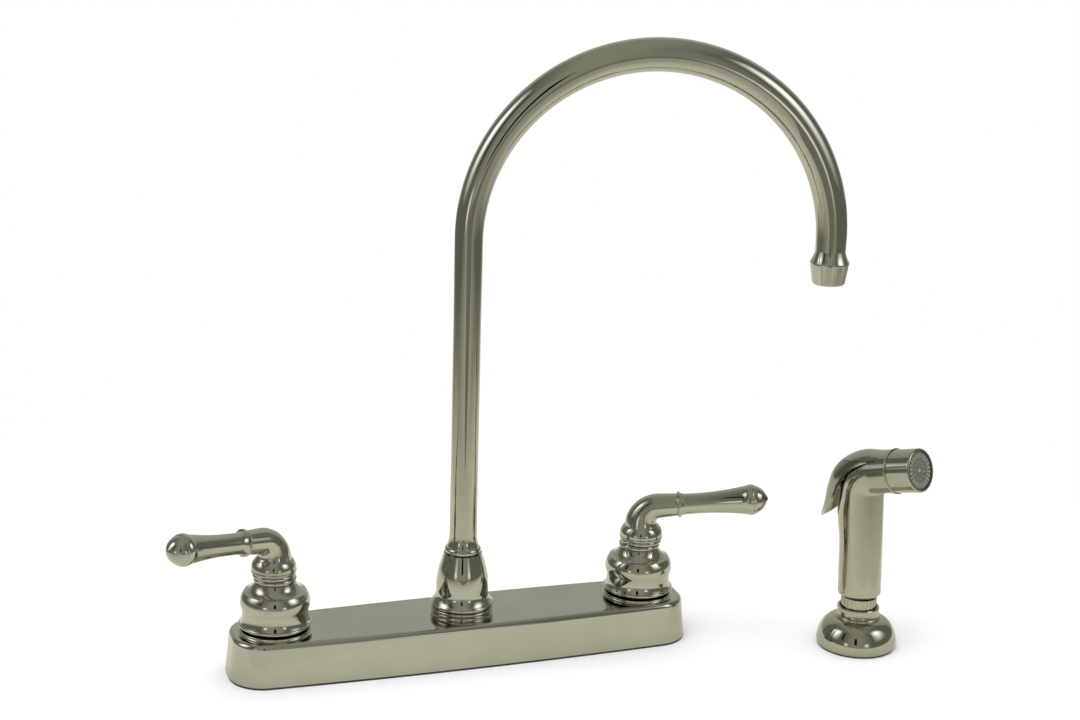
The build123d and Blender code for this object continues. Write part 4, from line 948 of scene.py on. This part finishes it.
glow_card("room_floor", lying(HALF, NEAR, 6.2, -0.004), OLIVE, DARK, (0.15, 0.85), pale=(0.93, 0.91, 0.80))
glow_card("room_front", standing((-HALF, NEAR), (HALF, NEAR), SKIRT, TOP), DIM, DARK, (0.5, 2.4))
glow_card("room_back", standing((-HALF, FAR), (HALF, FAR), 0.03, TOP), (0.56, 0.59, 0.51), DIM, (0.5, 2.4))
glow_card("room_left", standing((-WALL_ASIDE, NEAR), (-WALL_ASIDE, FAR), SKIRT, TOP), DARK)
glow_card("room_right", standing((WALL_ASIDE, NEAR), (WALL_ASIDE, FAR), SKIRT, TOP), DARK)
glow_card("room_top", lying(HALF, NEAR, FAR, CEILING), DIM, DARK, (0.6, 2.0))
glow_card("camera_shade", [on_floor(0.0, 0.66, -0.003), on_floor(0.02, 0.66, -0.003),
                           on_floor(1.0, -0.9, -0.003), on_floor(-0.6, -0.9, -0.003)], DUSK)


# %% [markdown]
# Two large panels with soft edges give the long highlights, two low ones the light at the
# bells' feet. Two black ones, at the camera and to its left, put dark stripes between
# them. The lamp is soft and isn't mirrored.

# %% White panels, the dark gap and the lamp
def soft_panel(name, bearing, distance, low, high, width, strength, colour=(1.0, 1.0, 1.0), edge=0.35):
    """An upright panel with soft edges, at a bearing from the faucet towards the camera's side."""
    made, tree, surface = empty_material(name)
    glow = node(tree, "ShaderNodeEmission", Strength=strength, Color=(*colour, 1))
    clear = node(tree, "ShaderNodeBsdfTransparent")
    place = tree.nodes.new("ShaderNodeTexCoord")
    parts = node(tree, "ShaderNodeSeparateXYZ")
    tree.links.new(place.outputs["UV"], parts.inputs["Vector"])
    sides = [ramp(tree, maths(tree, "PINGPONG", parts.outputs[axis], 0.5), 0.0, 1.0, 0.0, edge)
             for axis in "XY"]
    tree.links.new(mixed(tree, maths(tree, "MULTIPLY", *sides), clear.outputs["BSDF"],
                         glow.outputs["Emission"]), surface)
    angle = math.radians(bearing)
    middle = Vector((distance * math.sin(angle), MIDDLE_AHEAD - distance * math.cos(angle)))
    across = Vector((math.cos(angle), math.sin(angle))) * (width / 2)
    stage_plane(name, standing(middle - across, middle + across, low, high), made, MIRROR_ONLY)


LOW_LIGHT = (1.0, 0.99, 0.92)
soft_panel("panel_left", -82, 1.3, 0.25, 1.9, 1.1, 3.6, edge=0.5)
soft_panel("panel_right", 76, 1.3, 0.25, 1.8, 1.1, 3.4, edge=0.5)
soft_panel("low_left", -30, 1.1, 0.0, 0.30, 0.30, 1.5, LOW_LIGHT)
soft_panel("low_right", 32, 1.1, 0.0, 0.30, 0.30, 1.5, LOW_LIGHT)
soft_panel("camera_gap", 0, 1.05, 0.15, 0.75, 0.17, 0.0, edge=0.12)
soft_panel("left_flag", -47, 1.25, 0.4, 1.6, 0.16, 0.0, edge=0.15)


def soft_lamp(name, place_, aim, size, power):
    """An area lamp at a place, turned to its aim, that lights but isn't mirrored."""
    data = bpy.data.lights.new(name, "AREA")
    data.shape, data.size, data.energy = "DISK", size, power
    lamp = bpy.data.objects.new(name, data)
    bpy.context.scene.collection.objects.link(lamp)
    facing = (aim - place_).to_track_quat("-Z", "Y").to_matrix().to_4x4()
    lamp.matrix_world = Matrix.Translation(place_) @ facing
    lamp.visible_glossy = False


soft_lamp("high_soft", on_floor(-0.4, 0.6, 1.9), on_floor(0.3, 1.3), 1.2, 12)
world = bpy.data.worlds.new("room")
world.use_nodes = True
sky = world.node_tree.nodes["Background"]
sky.inputs["Color"].default_value = (1, 1, 1, 1)
sky.inputs["Strength"].default_value = 1.0
bpy.context.scene.world = world
bpy.context.scene.view_settings.view_transform = "Standard"
print("stage and lamps ready")
